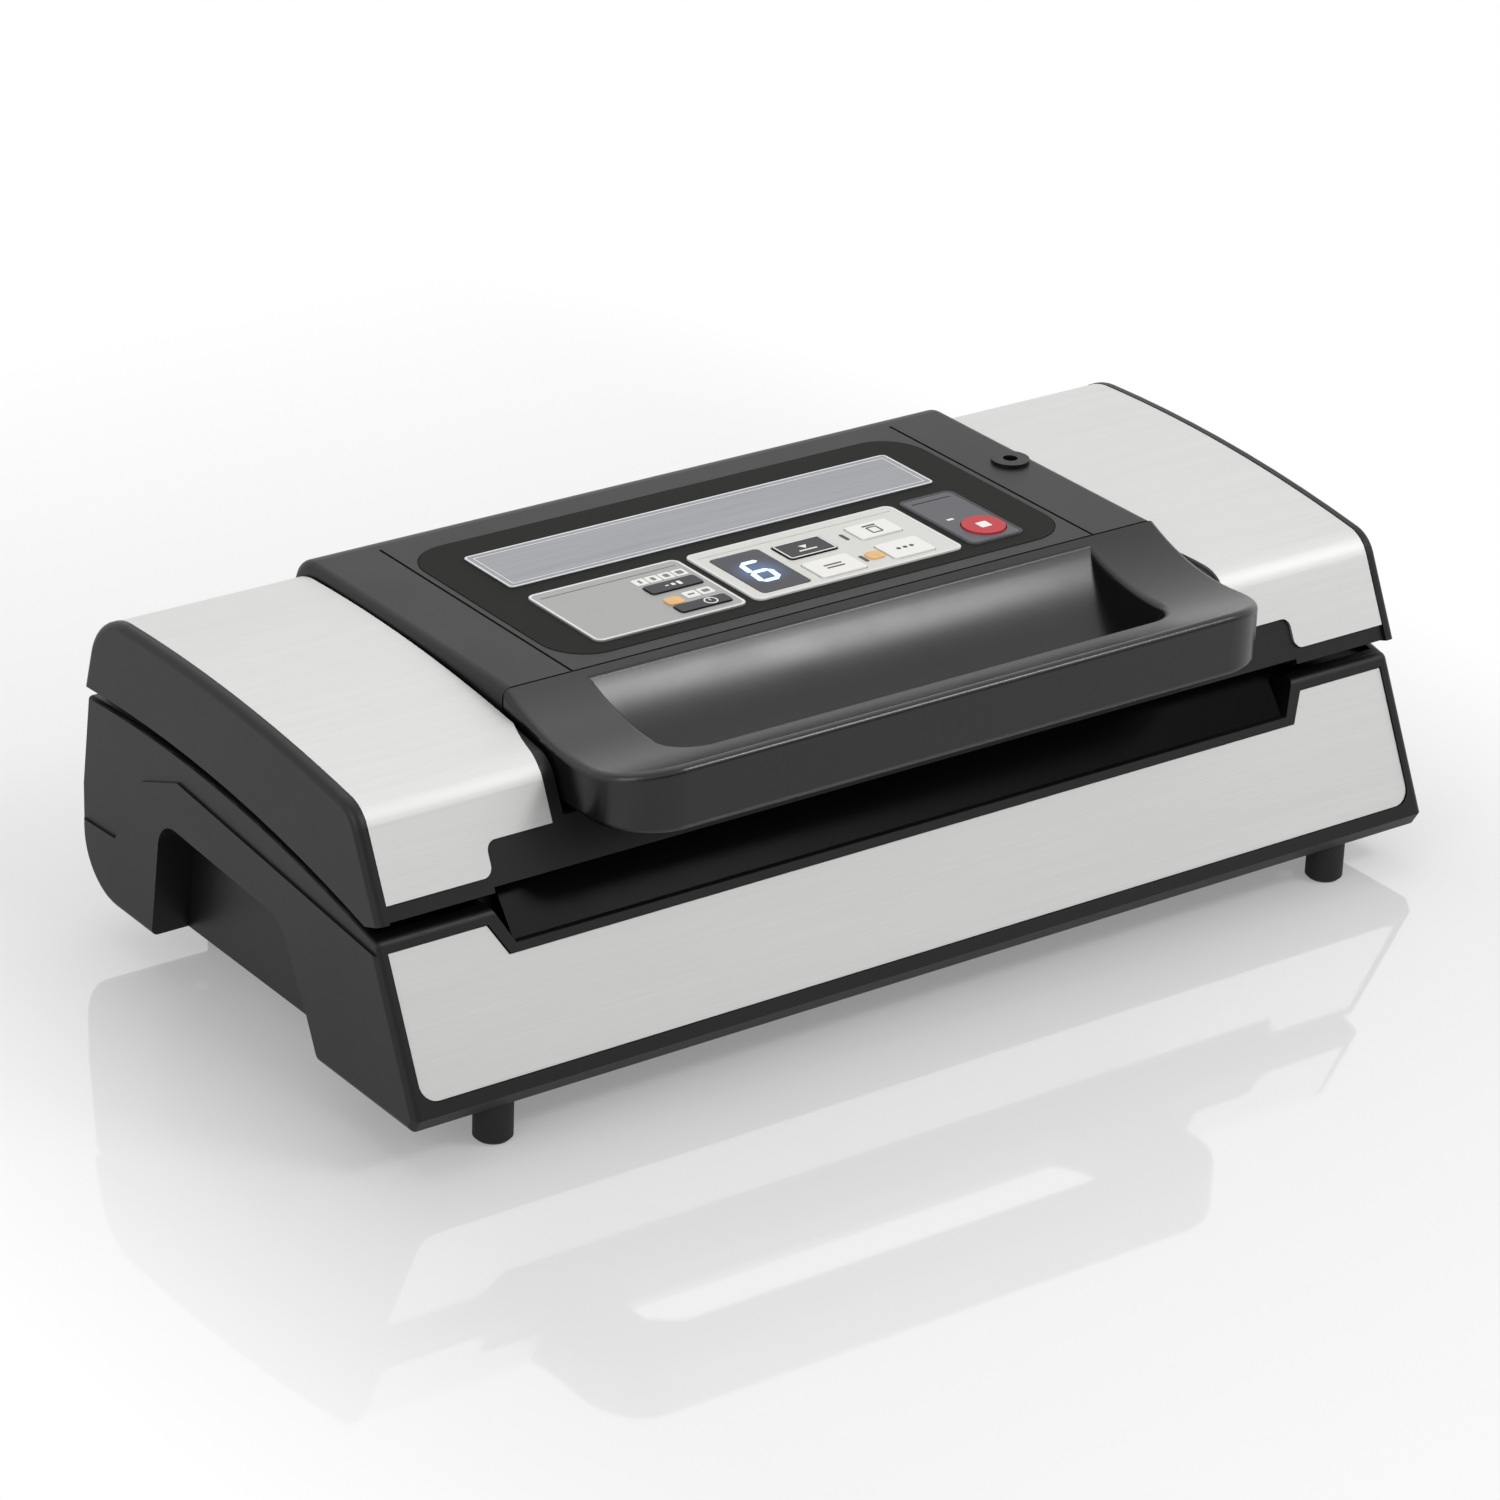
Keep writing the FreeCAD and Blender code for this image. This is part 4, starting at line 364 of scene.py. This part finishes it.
# %% Smoked window
window_low, window_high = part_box("display_window")
window_middle = (window_low + window_high) / 2
HALO_CORE_MM, HALO_MM = 2, 11   # the glow is full up to the first distance and gone at the second
HALO_STRENGTH = 0.4
CLOUD_MM = 4                    # the size of the faint clouds in the acrylic
ACRYLIC_IOR = 1.49


def smoked_window(name, dark, light, glow):
    """Dark acrylic that glows round the middle of the display."""
    material, tree, shader, place = start_material(name)
    away = add_node(tree, "ShaderNodeVectorMath", {0: place, 1: window_middle}, operation="DISTANCE")
    halo = add_node(tree, "ShaderNodeMapRange",
                    {"Value": away.outputs["Value"], "From Min": HALO_CORE_MM * MM, "From Max": HALO_MM * MM,
                     "To Min": HALO_STRENGTH, "To Max": 0.0}, interpolation_type="SMOOTHSTEP")
    cloud = add_node(tree, "ShaderNodeTexNoise",
                     {"Vector": place, "Scale": per_metre(CLOUD_MM), "Detail": 2.0})
    tint = add_node(tree, "ShaderNodeMix", {MIX_FACTOR: cloud.outputs["Fac"], MIX_A: linear(dark),
                                            MIX_B: linear(light)}, data_type="RGBA")
    plug(shader, {"Base Color": tint.outputs[MIX_COLOUR], "Roughness": 0.18, "IOR": ACRYLIC_IOR,
                  "Specular IOR Level": 0.3, "Emission Color": linear(glow),
                  "Emission Strength": halo.outputs["Result"]})
    return material


# Smoked acrylic: dark slate blue with a glossy face.
FINISHES["display_glass"] = smoked_window("acrylic_smoked_blue", "#121724", "#181e2e", "#5f86c8")
print("the window glows", HALO_MM, "mm round its digit")

# %% Lamps and segments
LENS_CLOUD_MM = 3               # the size of the brighter and duller spots in a lit lens
POLYCARBONATE_IOR = 1.58


def lit(name, body, glow, strength):
    """A clouded lens that shines in its own colours."""
    material, tree, shader, place = start_material(name)
    cloud = add_node(tree, "ShaderNodeTexNoise",
                     {"Vector": place, "Scale": per_metre(LENS_CLOUD_MM), "Detail": 2.0})
    tint = add_node(tree, "ShaderNodeMix", {MIX_FACTOR: cloud.outputs["Fac"], MIX_A: linear(body),
                                            MIX_B: linear(glow)}, data_type="RGBA")
    plug(shader, {"Base Color": tint.outputs[MIX_COLOUR], "Roughness": 0.3, "IOR": POLYCARBONATE_IOR,
                  "Emission Color": tint.outputs[MIX_COLOUR], "Emission Strength": strength})
    return material


FINISHES.update({
    # Moulded polycarbonate lens: amber, lit from below.
    "amber_lens": lit("polycarbonate_lens_amber", "#c98f3c", "#e4b873", strength=0.15),
    # Light-emitting segments: cold blue-white, brighter than anything round them.
    "digit_light": lit("diode_segments_blue", "#a9d2ff", "#dcefff", strength=0.75),
})
print(len(FINISHES), "finishes in all")

# %% [markdown]
# ## Dress the solids
#
# Each solid says in its record which finish it has, as a drawing names the material of every part. The
# finishes could be given out by hand, piece by piece. Reading them from the record keeps the two in step.

# %% Dress the solids
slot_of = {part["node"]: part["material_slot"] for part in frame["record"]["subparts"]}
for name, piece in nodes.items():
    piece.data.materials.clear()
    piece.data.materials.append(FINISHES[slot_of[name]])
print(len(nodes), "pieces dressed")

# %% [markdown]
# ## Broken edges
#
# No moulded or stamped edge is perfectly sharp: a radius of a few tenths of a millimetre catches the
# light as a thin line, and that line is what tells the eye where one piece ends. The big rounds are
# already in the solids. The small ones are added here with a Bevel modifier, after a Weld that joins the
# solid's separate faces, so that the solids themselves stay untouched.

# %% Round the small edges
SHARP_ANGLE = math.radians(35)
WELD_MM = 0.001
THIN_EDGE_MM, KEY_EDGE_MM, STOP_EDGE_MM = 0.2, 0.25, 0.3
THIN_PIECES = ("trim_strip", "left_plate", "centre_plate", "right_plate", "control_inlay", "indicator_lamps")
FLAT_KEYS = ("vacuum_key", "seal_key", "canister_key", "marinate_key", "mode_key", "time_key")
EDGE_MM = {**dict.fromkeys(THIN_PIECES, THIN_EDGE_MM), **dict.fromkeys(FLAT_KEYS, KEY_EDGE_MM),
           "stop_key": STOP_EDGE_MM}
for name, edge_mm in EDGE_MM.items():
    weld = nodes[name].modifiers.new("join_faces", "WELD")
    weld.merge_threshold = WELD_MM * MM
    bevel = nodes[name].modifiers.new("small_edges", "BEVEL")
    bevel.width = edge_mm * MM
    bevel.segments = 2
    bevel.limit_method = "ANGLE"
    bevel.angle_limit = SHARP_ANGLE
    bevel.harden_normals = True
print(len(EDGE_MM), "pieces with broken edges")

# %% [markdown]
# ## Printed marks
#
# The panel carries thin layers of ink: narrow borders round the plates, rows of small tiles and the
# symbols on the keys. They could be painted into the plates' materials with masks, but a mask blurs at
# the edges and has to be placed by formula. Thin raised shapes are how screen ink really lies, stay
# crisp, and move with their key. Each shape is an outline with an optional hole, and many shapes make one
# piece.

# %% Outlines
CORNER_STEPS = 5
BAR_CORNER_MM = 0.2
OUTER_CORNER_MM, INNER_CORNER_MM = 0.3, 0.2     # the sharpest corners of a border, outside and inside


def rounded(left, right, front, rear, corner):
    """Points round a rectangle with rounded corners, counterclockwise, in millimetres."""
    points = []
    for turn, (x, y) in enumerate(((right - corner, rear - corner), (left + corner, rear - corner),
                                   (left + corner, front + corner), (right - corner, front + corner))):
        for step in range(CORNER_STEPS + 1):
            angle = math.radians(90) * (turn + step / CORNER_STEPS)
            points.append((x + corner * math.cos(angle), y + corner * math.sin(angle)))
    return points


def bar(x, y, width, run, corner=BAR_CORNER_MM):
    """A rounded bar round its middle, with no hole."""
    return rounded(x - width / 2, x + width / 2, y - run / 2, y + run / 2, corner), None


def border(left, right, front, rear, corner, inset, line):
    """A line of constant width, set in from a rounded rectangle, with its corners never quite sharp."""
    outer_corner = max(corner - inset, OUTER_CORNER_MM)
    outer = rounded(left + inset, right - inset, front + inset, rear - inset, outer_corner)
    deep = inset + line
    inner_corner = max(corner - deep, INNER_CORNER_MM)
    return outer, rounded(left + deep, right - deep, front + deep, rear - deep, inner_corner)


def edges_mm(node):
    """A node's left, right, front and rear in millimetres, and the height of its top in metres."""
    low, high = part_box(node)
    return low.x / MM, high.x / MM, low.y / MM, high.y / MM, high.z


print("a rounded outline has", len(rounded(0, 10, 0, 10, 1)), "points")

# %% Ink as a mesh
INK_MM = 0.06


def loop_at(work, outline, z):
    """The points of an outline as corners of a mesh, at a height in metres."""
    return [work.verts.new((x * MM, y * MM, z)) for x, y in outline]


def band(work, first, second):
    """Faces between two loops with the same number of corners."""
    for here in range(len(first)):
        after = (here + 1) % len(first)
        work.faces.new((first[here], first[after], second[after], second[here]))


def raise_shape(work, outer, hole, floor_z):
    """A low prism on an outline, open in the middle where the outline has a hole."""
    top_z = floor_z + INK_MM * MM
    low, high = loop_at(work, outer, floor_z), loop_at(work, outer, top_z)
    band(work, low, high)
    if hole is None:
        work.faces.new(high)
        work.faces.new(low[::-1])
        return
    low_hole, high_hole = loop_at(work, hole, floor_z), loop_at(work, hole, top_z)
    band(work, high_hole, low_hole)
    band(work, high, high_hole)
    band(work, low_hole, low)


print("ink lies", INK_MM, "mm thick")


def put(name, data):
    """A new object in the scene that holds a mesh, a lamp or a camera."""
    thing = bpy.data.objects.new(name, data)
    bpy.context.scene.collection.objects.link(thing)
    return thing


def ink(name, shapes, floor_z, body, look):
    """Raise flat shapes from floor_z by the thickness of the ink, as one piece that rides on a body."""
    mesh = bpy.data.meshes.new(name)
    work = bmesh.new()
    for outer, hole in shapes:
        raise_shape(work, outer, hole, floor_z)
    work.to_mesh(mesh)
    work.free()
    mesh.materials.append(FINISHES[look])
    piece = put(name, mesh)
    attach(piece, body)
    return piece


# %% [markdown]
# ## Borders of the plates
#
# Each plate and the trim strip ends in a narrow border where the ink stops short of the film's edge, and
# the strip has a second fine line inside it. The dark plate has a dark line instead. A border could be a
# second, larger plate below the first, but the solids have their full size already, so it is one more
# line of ink.

# %% Borders
PLATE_CORNER_MM, PLATE_LINE_MM = 3.0, 0.8
STRIP_CORNER_MM, STRIP_LINE_MM = 2.0, 0.6
EDGE_INSET_MM = 0.25            # how far a border stays in from the film's edge
INNER_INSET_MM, INNER_LINE_MM = 2.5, 0.35
for plate in ("left_plate", "centre_plate", "right_plate"):
    *sides, top = edges_mm(plate)
    look = "dark_key" if plate == "right_plate" else "silver_rim"
    plate_line = border(*sides, PLATE_CORNER_MM, EDGE_INSET_MM, PLATE_LINE_MM)
    ink(plate + "_border", [plate_line], top, "lid", look)
*sides, top = edges_mm("trim_strip")
strip_lines = [border(*sides, STRIP_CORNER_MM, EDGE_INSET_MM, STRIP_LINE_MM),
               border(*sides, STRIP_CORNER_MM, INNER_INSET_MM, INNER_LINE_MM)]
ink("trim_strip_border", strip_lines, top, "lid", "silver_rim")
print("four plates bordered")

# %% [markdown]
# ## Tiles and ticks on the plates
#
# Beside the keys, rows of little white tiles stand for settings, and short ticks lead to a key. On the
# real panel they are printed on the film. A picture laid on the plate could show them, but it blurs from
# close by. Here the tiles are one piece and the grey marks on them another, because each piece has one
# ink, and every tile holds one plain bar that grows from tile to tile.

# %% Setting tiles
TILE_DEPTH_MM, TILE_CORNER_MM, MARK_CORNER_MM = 4.6, 0.6, 0.4
UPPER_INSET_MM, UPPER_RISE_MM, UPPER_STEP_MM, UPPER_TILE_MM = 3.2, 3.4, 5.1, 4.6
LOWER_INSET_MM, LOWER_STEP_MM, LOWER_TILE_MM = 11.8, 5.6, 5.0
UPPER_MARKS_MM = [(1.0 + 0.5 * place, 2.4) for place in range(4)]   # width and run: wider by turns
LOWER_MARKS_MM = [(2.6, 1.0 + 1.0 * place) for place in range(2)]   # longer by turns
tiles = []
tile_marks = []


def tile_row(first_x, y, step, width, marks):
    """Lay a row of white tiles, each with its mark, from left to right."""
    for place, (mark_width, mark_run) in enumerate(marks):
        x = first_x + place * step
        tiles.append(bar(x, y, width, TILE_DEPTH_MM, TILE_CORNER_MM))
        tile_marks.append(bar(x, y, mark_width, mark_run, MARK_CORNER_MM))


mode_left, _, mode_front, mode_rear, _ = edges_mm("mode_key")
_, _, _, time_rear, _ = edges_mm("time_key")
above_keys, between_keys = mode_rear + UPPER_RISE_MM, (mode_front + time_rear) / 2
tile_row(mode_left + UPPER_INSET_MM, above_keys, UPPER_STEP_MM, UPPER_TILE_MM, UPPER_MARKS_MM)
tile_row(mode_left + LOWER_INSET_MM, between_keys, LOWER_STEP_MM, LOWER_TILE_MM, LOWER_MARKS_MM)
*_, plate_top = edges_mm("left_plate")
ink("setting_tiles", tiles, plate_top, "lid", "white_ink")
ink("setting_marks", tile_marks, plate_top + INK_MM * MM, "lid", "grey_ink")
print(len(tiles), "tiles")

# %% Ticks
TICK_WIDTH_MM, TICK_RUN_MM, TICK_CORNER_MM = 1.5, 5.0, 0.6
CANISTER_GAP_MM, SEAL_GAP_MM = 2.6, 2.0
STOP_TICK_MM = {"width": 2.6, "run": 1.2, "corner": 0.3}
STOP_INSET_MM, STOP_RISE_MM = 2.0, 1.4
canister_left, _, canister_front, canister_rear, _ = edges_mm("canister_key")
_, seal_right, seal_front, seal_rear, _ = edges_mm("seal_key")
stop_left, _, _, stop_rear, _ = edges_mm("stop_key")
*_, centre_top = edges_mm("centre_plate")
*_, right_top = edges_mm("right_plate")
ticks = [bar(x, y, TICK_WIDTH_MM, TICK_RUN_MM, TICK_CORNER_MM)
         for x, y in ((canister_left - CANISTER_GAP_MM, (canister_front + canister_rear) / 2),
                      (seal_right + SEAL_GAP_MM, (seal_front + seal_rear) / 2))]
ink("plate_ticks", ticks, centre_top, "lid", "black_ink")
stop_tick = bar(stop_left + STOP_INSET_MM, stop_rear + STOP_RISE_MM, **STOP_TICK_MM)
ink("stop_tick", [stop_tick], right_top, "lid", "white_ink")
print(len(ticks) + 1, "ticks")

# %% [markdown]
# ## Symbols on the keys
#
# On the keys a plain symbol says what each one does: a square to stop, two bars for a sealed seam, an
# arrow onto a bar to draw air and seal, a jar, drops, steps and a clock. Text objects could carry such
# signs, but a font brings its own outlines. Bars, rings and discs drawn round the middle of a key are ink
# like the rest, and they ride on their key.

# %% Stop, seal and vacuum
STOP_SQUARE_MM, STOP_CORNER_MM = 4.2, 0.5
SEAM_MM, STROKE_MM = 7.0, 0.8
SEAM_SHIFT_MM, VACUUM_SEAM_MM = 1.0, 2.0    # how far a seam lies from the middle of its key
FRAME_WIDTH_MM, FRAME_RUN_MM, FRAME_CORNER_MM, FRAME_LINE_MM = 18.4, 11.2, 1.0, 0.5
ARROW_MM = 1.6


def symbol(key, look, draw):
    """Print a key's symbol round the middle of its top."""
    left, right, front, rear, top = edges_mm(key)
    ink(key + "_symbol", draw((left + right) / 2, (front + rear) / 2), top, key, look)


def seam(x, y):
    """One thin bar that stands for a sealed seam."""
    return bar(x, y, SEAM_MM, STROKE_MM)


def framed_arrow(x, y):
    """An arrow down onto a seam, in a frame."""
    wide, deep = FRAME_WIDTH_MM / 2, FRAME_RUN_MM / 2
    line = border(x - wide, x + wide, y - deep, y + deep, FRAME_CORNER_MM, 0, FRAME_LINE_MM)
    arrow = [(x - ARROW_MM, y + ARROW_MM), (x, y - ARROW_MM / 2), (x + ARROW_MM, y + ARROW_MM)]
    return [line, seam(x, y - VACUUM_SEAM_MM), (arrow, None)]


symbol("stop_key", "white_ink", lambda x, y: [bar(x, y, STOP_SQUARE_MM, STOP_SQUARE_MM, STOP_CORNER_MM)])
symbol("seal_key", "black_ink", lambda x, y: [seam(x, y - SEAM_SHIFT_MM), seam(x, y + SEAM_SHIFT_MM)])
symbol("vacuum_key", "white_ink", framed_arrow)
print("three keys marked")

# %% Jar, drops, steps and clock
RING_STEPS = 24
JAR_HALF_MM, JAR_BASE_MM, JAR_NECK_MM = 2.2, 3.0, 1.8
JAR_CORNER_MM, JAR_LINE_MM = 0.6, 0.6
JAR_LID_MM = {"width": 5.2, "run": 0.9}
JAR_LID_RISE_MM = 2.9
DROP_STEP_MM, DROP_RADIUS_MM = 2.6, 0.8
STEP_MM, STEP_WIDTH_MM, STEP_HEIGHT_MM, STEP_CORNER_MM = 2.4, 1.4, 1.6, 0.3
CLOCK_SHIFT_MM, CLOCK_RADIUS_MM, CLOCK_LINE_MM = 3.0, 2.4, 0.5
HAND_MM = {"width": 0.4, "run": 1.6, "corner": 0.1}
HAND_RISE_MM = 0.7
LEFT_TO_RIGHT = (-1, 0, 1)


def disc(x, y, radius):
    """Points round a circle, in millimetres."""
    turns = [2 * math.pi * step / RING_STEPS for step in range(RING_STEPS)]
    return [(x + radius * math.cos(turn), y + radius * math.sin(turn)) for turn in turns]


def jar(x, y):
    """An open jar below its lid."""
    glass = border(x - JAR_HALF_MM, x + JAR_HALF_MM, y - JAR_BASE_MM, y + JAR_NECK_MM,
                   JAR_CORNER_MM, 0, JAR_LINE_MM)
    return [glass, bar(x, y + JAR_LID_RISE_MM, **JAR_LID_MM)]


def clock(x, y):
    """A ring with one hand, to the right of the key's middle."""
    x += CLOCK_SHIFT_MM
    ring = disc(x, y, CLOCK_RADIUS_MM), disc(x, y, CLOCK_RADIUS_MM - CLOCK_LINE_MM)
    return [ring, bar(x, y + HAND_RISE_MM, **HAND_MM)]


def drops(x, y):
    """Three drops in a row."""
    return [(disc(x + place * DROP_STEP_MM, y, DROP_RADIUS_MM), None) for place in LEFT_TO_RIGHT]


def steps(x, y):
    """Three bars, each one millimetre taller than the last."""
    return [bar(x + place * STEP_MM, y, STEP_WIDTH_MM, STEP_HEIGHT_MM + place, STEP_CORNER_MM)
            for place in LEFT_TO_RIGHT]


symbol("canister_key", "black_ink", jar)
symbol("marinate_key", "black_ink", drops)
symbol("mode_key", "white_ink", steps)
symbol("time_key", "white_ink", clock)
print("four more keys marked")

# %% [markdown]
# ## The lit digit
#
# The display shows one seven-segment digit, leaning a little as such digits do. A digit from a font would
# have round strokes, so each segment is drawn as a bar with pointed ends, and the six of them that make a
# 6 are placed from the digit's width and height.

# %% Seven-segment digit
DIGIT_WIDTH_MM = 6.8
DIGIT_HEIGHT_MM = 14.5
SEGMENT_MM = 2.1
LEAN = 0.1
MITRE_GAP_MM = 0.12


def segment(x0, y0, x1, y1):
    """A bar with pointed ends between two corners of the digit, leaned to the right."""
    ahead = Vector((x1 - x0, y1 - y0)).normalized()
    side = Vector((-ahead.y, ahead.x)) * SEGMENT_MM / 2
    tip = ahead * MITRE_GAP_MM
    shoulder = ahead * (MITRE_GAP_MM + SEGMENT_MM / 2)
    start, end = Vector((x0, y0)), Vector((x1, y1))
    points = (start + tip, start + shoulder - side, end - shoulder - side,
              end - tip, end - shoulder + side, start + shoulder + side)
    middle = window_middle / MM
    return [(middle.x + p.x + LEAN * p.y, middle.y + p.y) for p in points], None


half, tall = DIGIT_WIDTH_MM / 2, DIGIT_HEIGHT_MM / 2
level_segments = [segment(-half, y, half, y) for y in (tall, 0, -tall)]
upright_segments = [segment(-half, 0, -half, tall), segment(-half, -tall, -half, 0),
                    segment(half, -tall, half, 0)]
digit = ink("lit_digit", level_segments + upright_segments, window_high.z, "lid", "digit_light")
print("digit of", len(digit.data.polygons), "faces")

# %% [markdown]
# ## Studio table
#
# Product photographs like this one are often taken on a polished white acrylic table that mirrors the
# object softly. The table could be modelled with its edges and legs, but only its top is ever seen, so it
# is one wide plane.

# %% Table
FLOOR_REACH = 6.0       # from the middle to each edge, well beyond where the table has turned white
corners = [(x * FLOOR_REACH, y * FLOOR_REACH, 0) for x, y in ((-1, -1), (1, -1), (1, 1), (-1, 1))]
floor_mesh = bpy.data.meshes.new("floor")
floor_mesh.from_pydata(corners, [], [(0, 1, 2, 3)])
floor = put("floor", floor_mesh)
print("table", 2 * FLOOR_REACH, "m wide")

# %% Polished acrylic
# Cast acrylic with polished faces: plain white under a clear mirror that blurs a little here and there. Its
# IOR lies above acrylic's usual 1.49, to match how strongly the table in the photograph mirrors.
POLISH_MM = 250
POLISH_ROUGHNESS = {"To Min": 0.02, "To Max": 0.06}
TABLE_IOR = 2.1
floor_look, floor_tree, floor_shader, floor_place = start_material("acrylic_white_polished")
polish = add_node(floor_tree, "ShaderNodeTexNoise",
                  {"Vector": floor_place, "Scale": per_metre(POLISH_MM), "Detail": 2.0})
sheen = add_node(floor_tree, "ShaderNodeMapRange", {"Value": polish.outputs["Fac"], **POLISH_ROUGHNESS})
plug(floor_shader, {"Base Color": linear("#e6e6e6"), "Roughness": sheen.outputs["Result"],
                    "IOR": TABLE_IOR})
floor_mesh.materials.append(floor_look)
print("table top is", floor_look.name)

# %% [markdown]
# ## White backdrop
#
# A little way from the machine the table runs out into a white backdrop with no edge to be seen. More
# lamps could bleach the table white, but they would bleach the machine too. Here a white emission is
# mixed in with the distance from the machine's box. Only the camera, mirrors and glass see it, so dull
# surfaces get no light from it, and close to the machine most of the acrylic is left to keep its shadow
# and its mirror image.

# %% Distance from the machine
FADE = (0.14, 0.45, 1)  # how far beside and before the machine the table has run out into the backdrop
NEAR_WHITE = 0.25       # how much of the backdrop's white lies on the table right beside the machine
quarter = add_node(floor_tree, "ShaderNodeVectorMath", {0: floor_place}, operation="ABSOLUTE")
beyond = add_node(floor_tree, "ShaderNodeVectorMath", {0: quarter.outputs["Vector"], 1: cad_box[1]},
                  operation="SUBTRACT")
outside = add_node(floor_tree, "ShaderNodeVectorMath", {0: beyond.outputs["Vector"], 1: (0, 0, 0)},
                   operation="MAXIMUM")
shares = add_node(floor_tree, "ShaderNodeVectorMath", {0: outside.outputs["Vector"], 1: FADE},
                  operation="DIVIDE")
away = add_node(floor_tree, "ShaderNodeVectorMath", {0: shares.outputs["Vector"]}, operation="LENGTH")
far = add_node(floor_tree, "ShaderNodeMapRange",
               {"Value": away.outputs["Value"], "To Min": NEAR_WHITE, "To Max": 1.0})
print("the table is white", FADE[0], "m beside the machine and", FADE[1], "m before it")

# %% White for the camera, mirrors and glass
sight = add_node(floor_tree, "ShaderNodeLightPath", {})
shown = add_node(floor_tree, "ShaderNodeMath",
                 {0: sight.outputs["Is Camera Ray"], 1: sight.outputs["Is Glossy Ray"]}, operation="MAXIMUM")
clear = add_node(floor_tree, "ShaderNodeMath",
                 {0: shown.outputs["Value"], 1: sight.outputs["Is Transmission Ray"]}, operation="MAXIMUM")
share = add_node(floor_tree, "ShaderNodeMath", {0: far.outputs["Result"], 1: clear.outputs["Value"]},
                 operation="MULTIPLY")
white = add_node(floor_tree, "ShaderNodeEmission", {"Color": linear("#ffffff"), "Strength": 1.0})
table = add_node(floor_tree, "ShaderNodeMixShader",
                 {0: share.outputs["Value"], 1: floor_shader.outputs["BSDF"], 2: white.outputs["Emission"]})
plug(floor_tree.nodes["Material Output"], {"Surface": table.outputs["Shader"]})
print(len(floor_tree.nodes), "nodes in the table's material")

# %% [markdown]
# ## The room
#
# Round the table the studio is white, apart from the dark room low in front, where the photographer
# stands. The room could be built from panels. A world does the same with no mesh: the camera sees plain
# white, mirrors see white above and behind and dark low in front, which gives the steel its shading, and
# dull surfaces get a dimmer, even fill.

# %% World
FILL = 0.55                             # the light that reaches dull surfaces from all round
DARK_SIDE, LIGHT_SIDE = 0.0, 1.18       # what mirrors see low in front, and everywhere else
SKY_TILT = (0, 0.5, 0.85)               # the direction away from the dark side
SKY_EDGE = {"From Min": -0.35, "From Max": -0.1}
world = bpy.data.worlds.new("studio")
world.use_nodes = True
bpy.context.scene.world = world
sky = world.node_tree
facing = add_node(sky, "ShaderNodeTexCoord", {}).outputs["Generated"]
rise = add_node(sky, "ShaderNodeVectorMath", {0: facing, 1: SKY_TILT}, operation="DOT_PRODUCT")
mirrored = add_node(sky, "ShaderNodeMapRange",
                    {"Value": rise.outputs["Value"], **SKY_EDGE, "To Min": DARK_SIDE, "To Max": LIGHT_SIDE})
path = add_node(sky, "ShaderNodeLightPath", {})
shiny = add_node(sky, "ShaderNodeMath",
                 {0: path.outputs["Is Glossy Ray"], 1: path.outputs["Is Transmission Ray"]},
                 operation="MAXIMUM")
dim = add_node(sky, "ShaderNodeMix",
               {"Factor": shiny.outputs["Value"], "A": FILL, "B": mirrored.outputs["Result"]})
seen = add_node(sky, "ShaderNodeMix",
                {"Factor": path.outputs["Is Camera Ray"], "A": dim.outputs["Result"], "B": 1.0})
plug(sky.nodes["Background"], {"Color": linear("#ffffff"), "Strength": seen.outputs["Result"]})
print("dull surfaces get", FILL, "of white from all round")

# %% [markdown]
# ## Lamps
#
# A small key softbox stands at the right, in front and above, where the hollow of the handle and the brow
# of the steel covers mirror it. It is weak, so that the steel keeps its grey and does not clip to white.
# A large one overhead fills the top, and a third at the left opens the shadow on the end. Sun or spot
# lamps would be simpler, but their hard highlights are wrong for soft studio light.

# %% Lamps
AIM = Vector((0, 0, 0.08))      # the middle of the machine


def softbox(name, place, width, height, power):
    """A rectangular lamp that faces the middle of the machine, in metres and watts."""
    light = bpy.data.lights.new(name, "AREA")
    light.shape = "RECTANGLE"
    light.size = width
    light.size_y = height
    light.energy = power
    lamp = put(name, light)
    lamp.location = place
    lamp.rotation_euler = (AIM - Vector(place)).to_track_quat("-Z", "Y").to_euler()


softbox("key", (0.64, -0.75, 0.93), width=0.42, height=0.2, power=4.2)
softbox("overhead", (0.1, 0.5, 1.5), width=1.6, height=1.2, power=4)
softbox("left", (-1.4, -0.4, 0.8), width=0.8, height=0.8, power=5)
print("three softboxes")

# %% [markdown]
# ## Camera
#
# The picture was taken from the front left and a little above with a long lens, and the camera was tipped
# by two degrees. A Track To constraint would aim the camera but not tip it. The camera's own axes are
# worked out from those angles instead, so the numbers can be read as a photographer would say them.

# %% Camera
LENS_MM, SENSOR_MM = 132.9, 36
CAMERA_PLACE = (-0.9806, -1.30249, 0.81936)
AZIMUTH, ELEVATION, ROLL = math.radians(-36.72), math.radians(25.208), math.radians(2.141)
back = Vector((math.sin(AZIMUTH) * math.cos(ELEVATION), -math.cos(AZIMUTH) * math.cos(ELEVATION),
               math.sin(ELEVATION)))
level = Vector((math.cos(AZIMUTH), math.sin(AZIMUTH), 0))
up = back.cross(level)
across = level * math.cos(ROLL) + up * math.sin(ROLL)
upright = up * math.cos(ROLL) - level * math.sin(ROLL)
optics = bpy.data.cameras.new("camera")
optics.lens = LENS_MM
optics.sensor_width = SENSOR_MM
camera = put("camera", optics)
turned = Matrix((across, upright, back)).transposed().to_4x4()
camera.matrix_world = Matrix.Translation(CAMERA_PLACE) @ turned
bpy.context.scene.camera = camera
bpy.context.scene.view_settings.view_transform = "Standard"
print("camera", round(Vector(CAMERA_PLACE).length, 2), "m from the frame's origin")
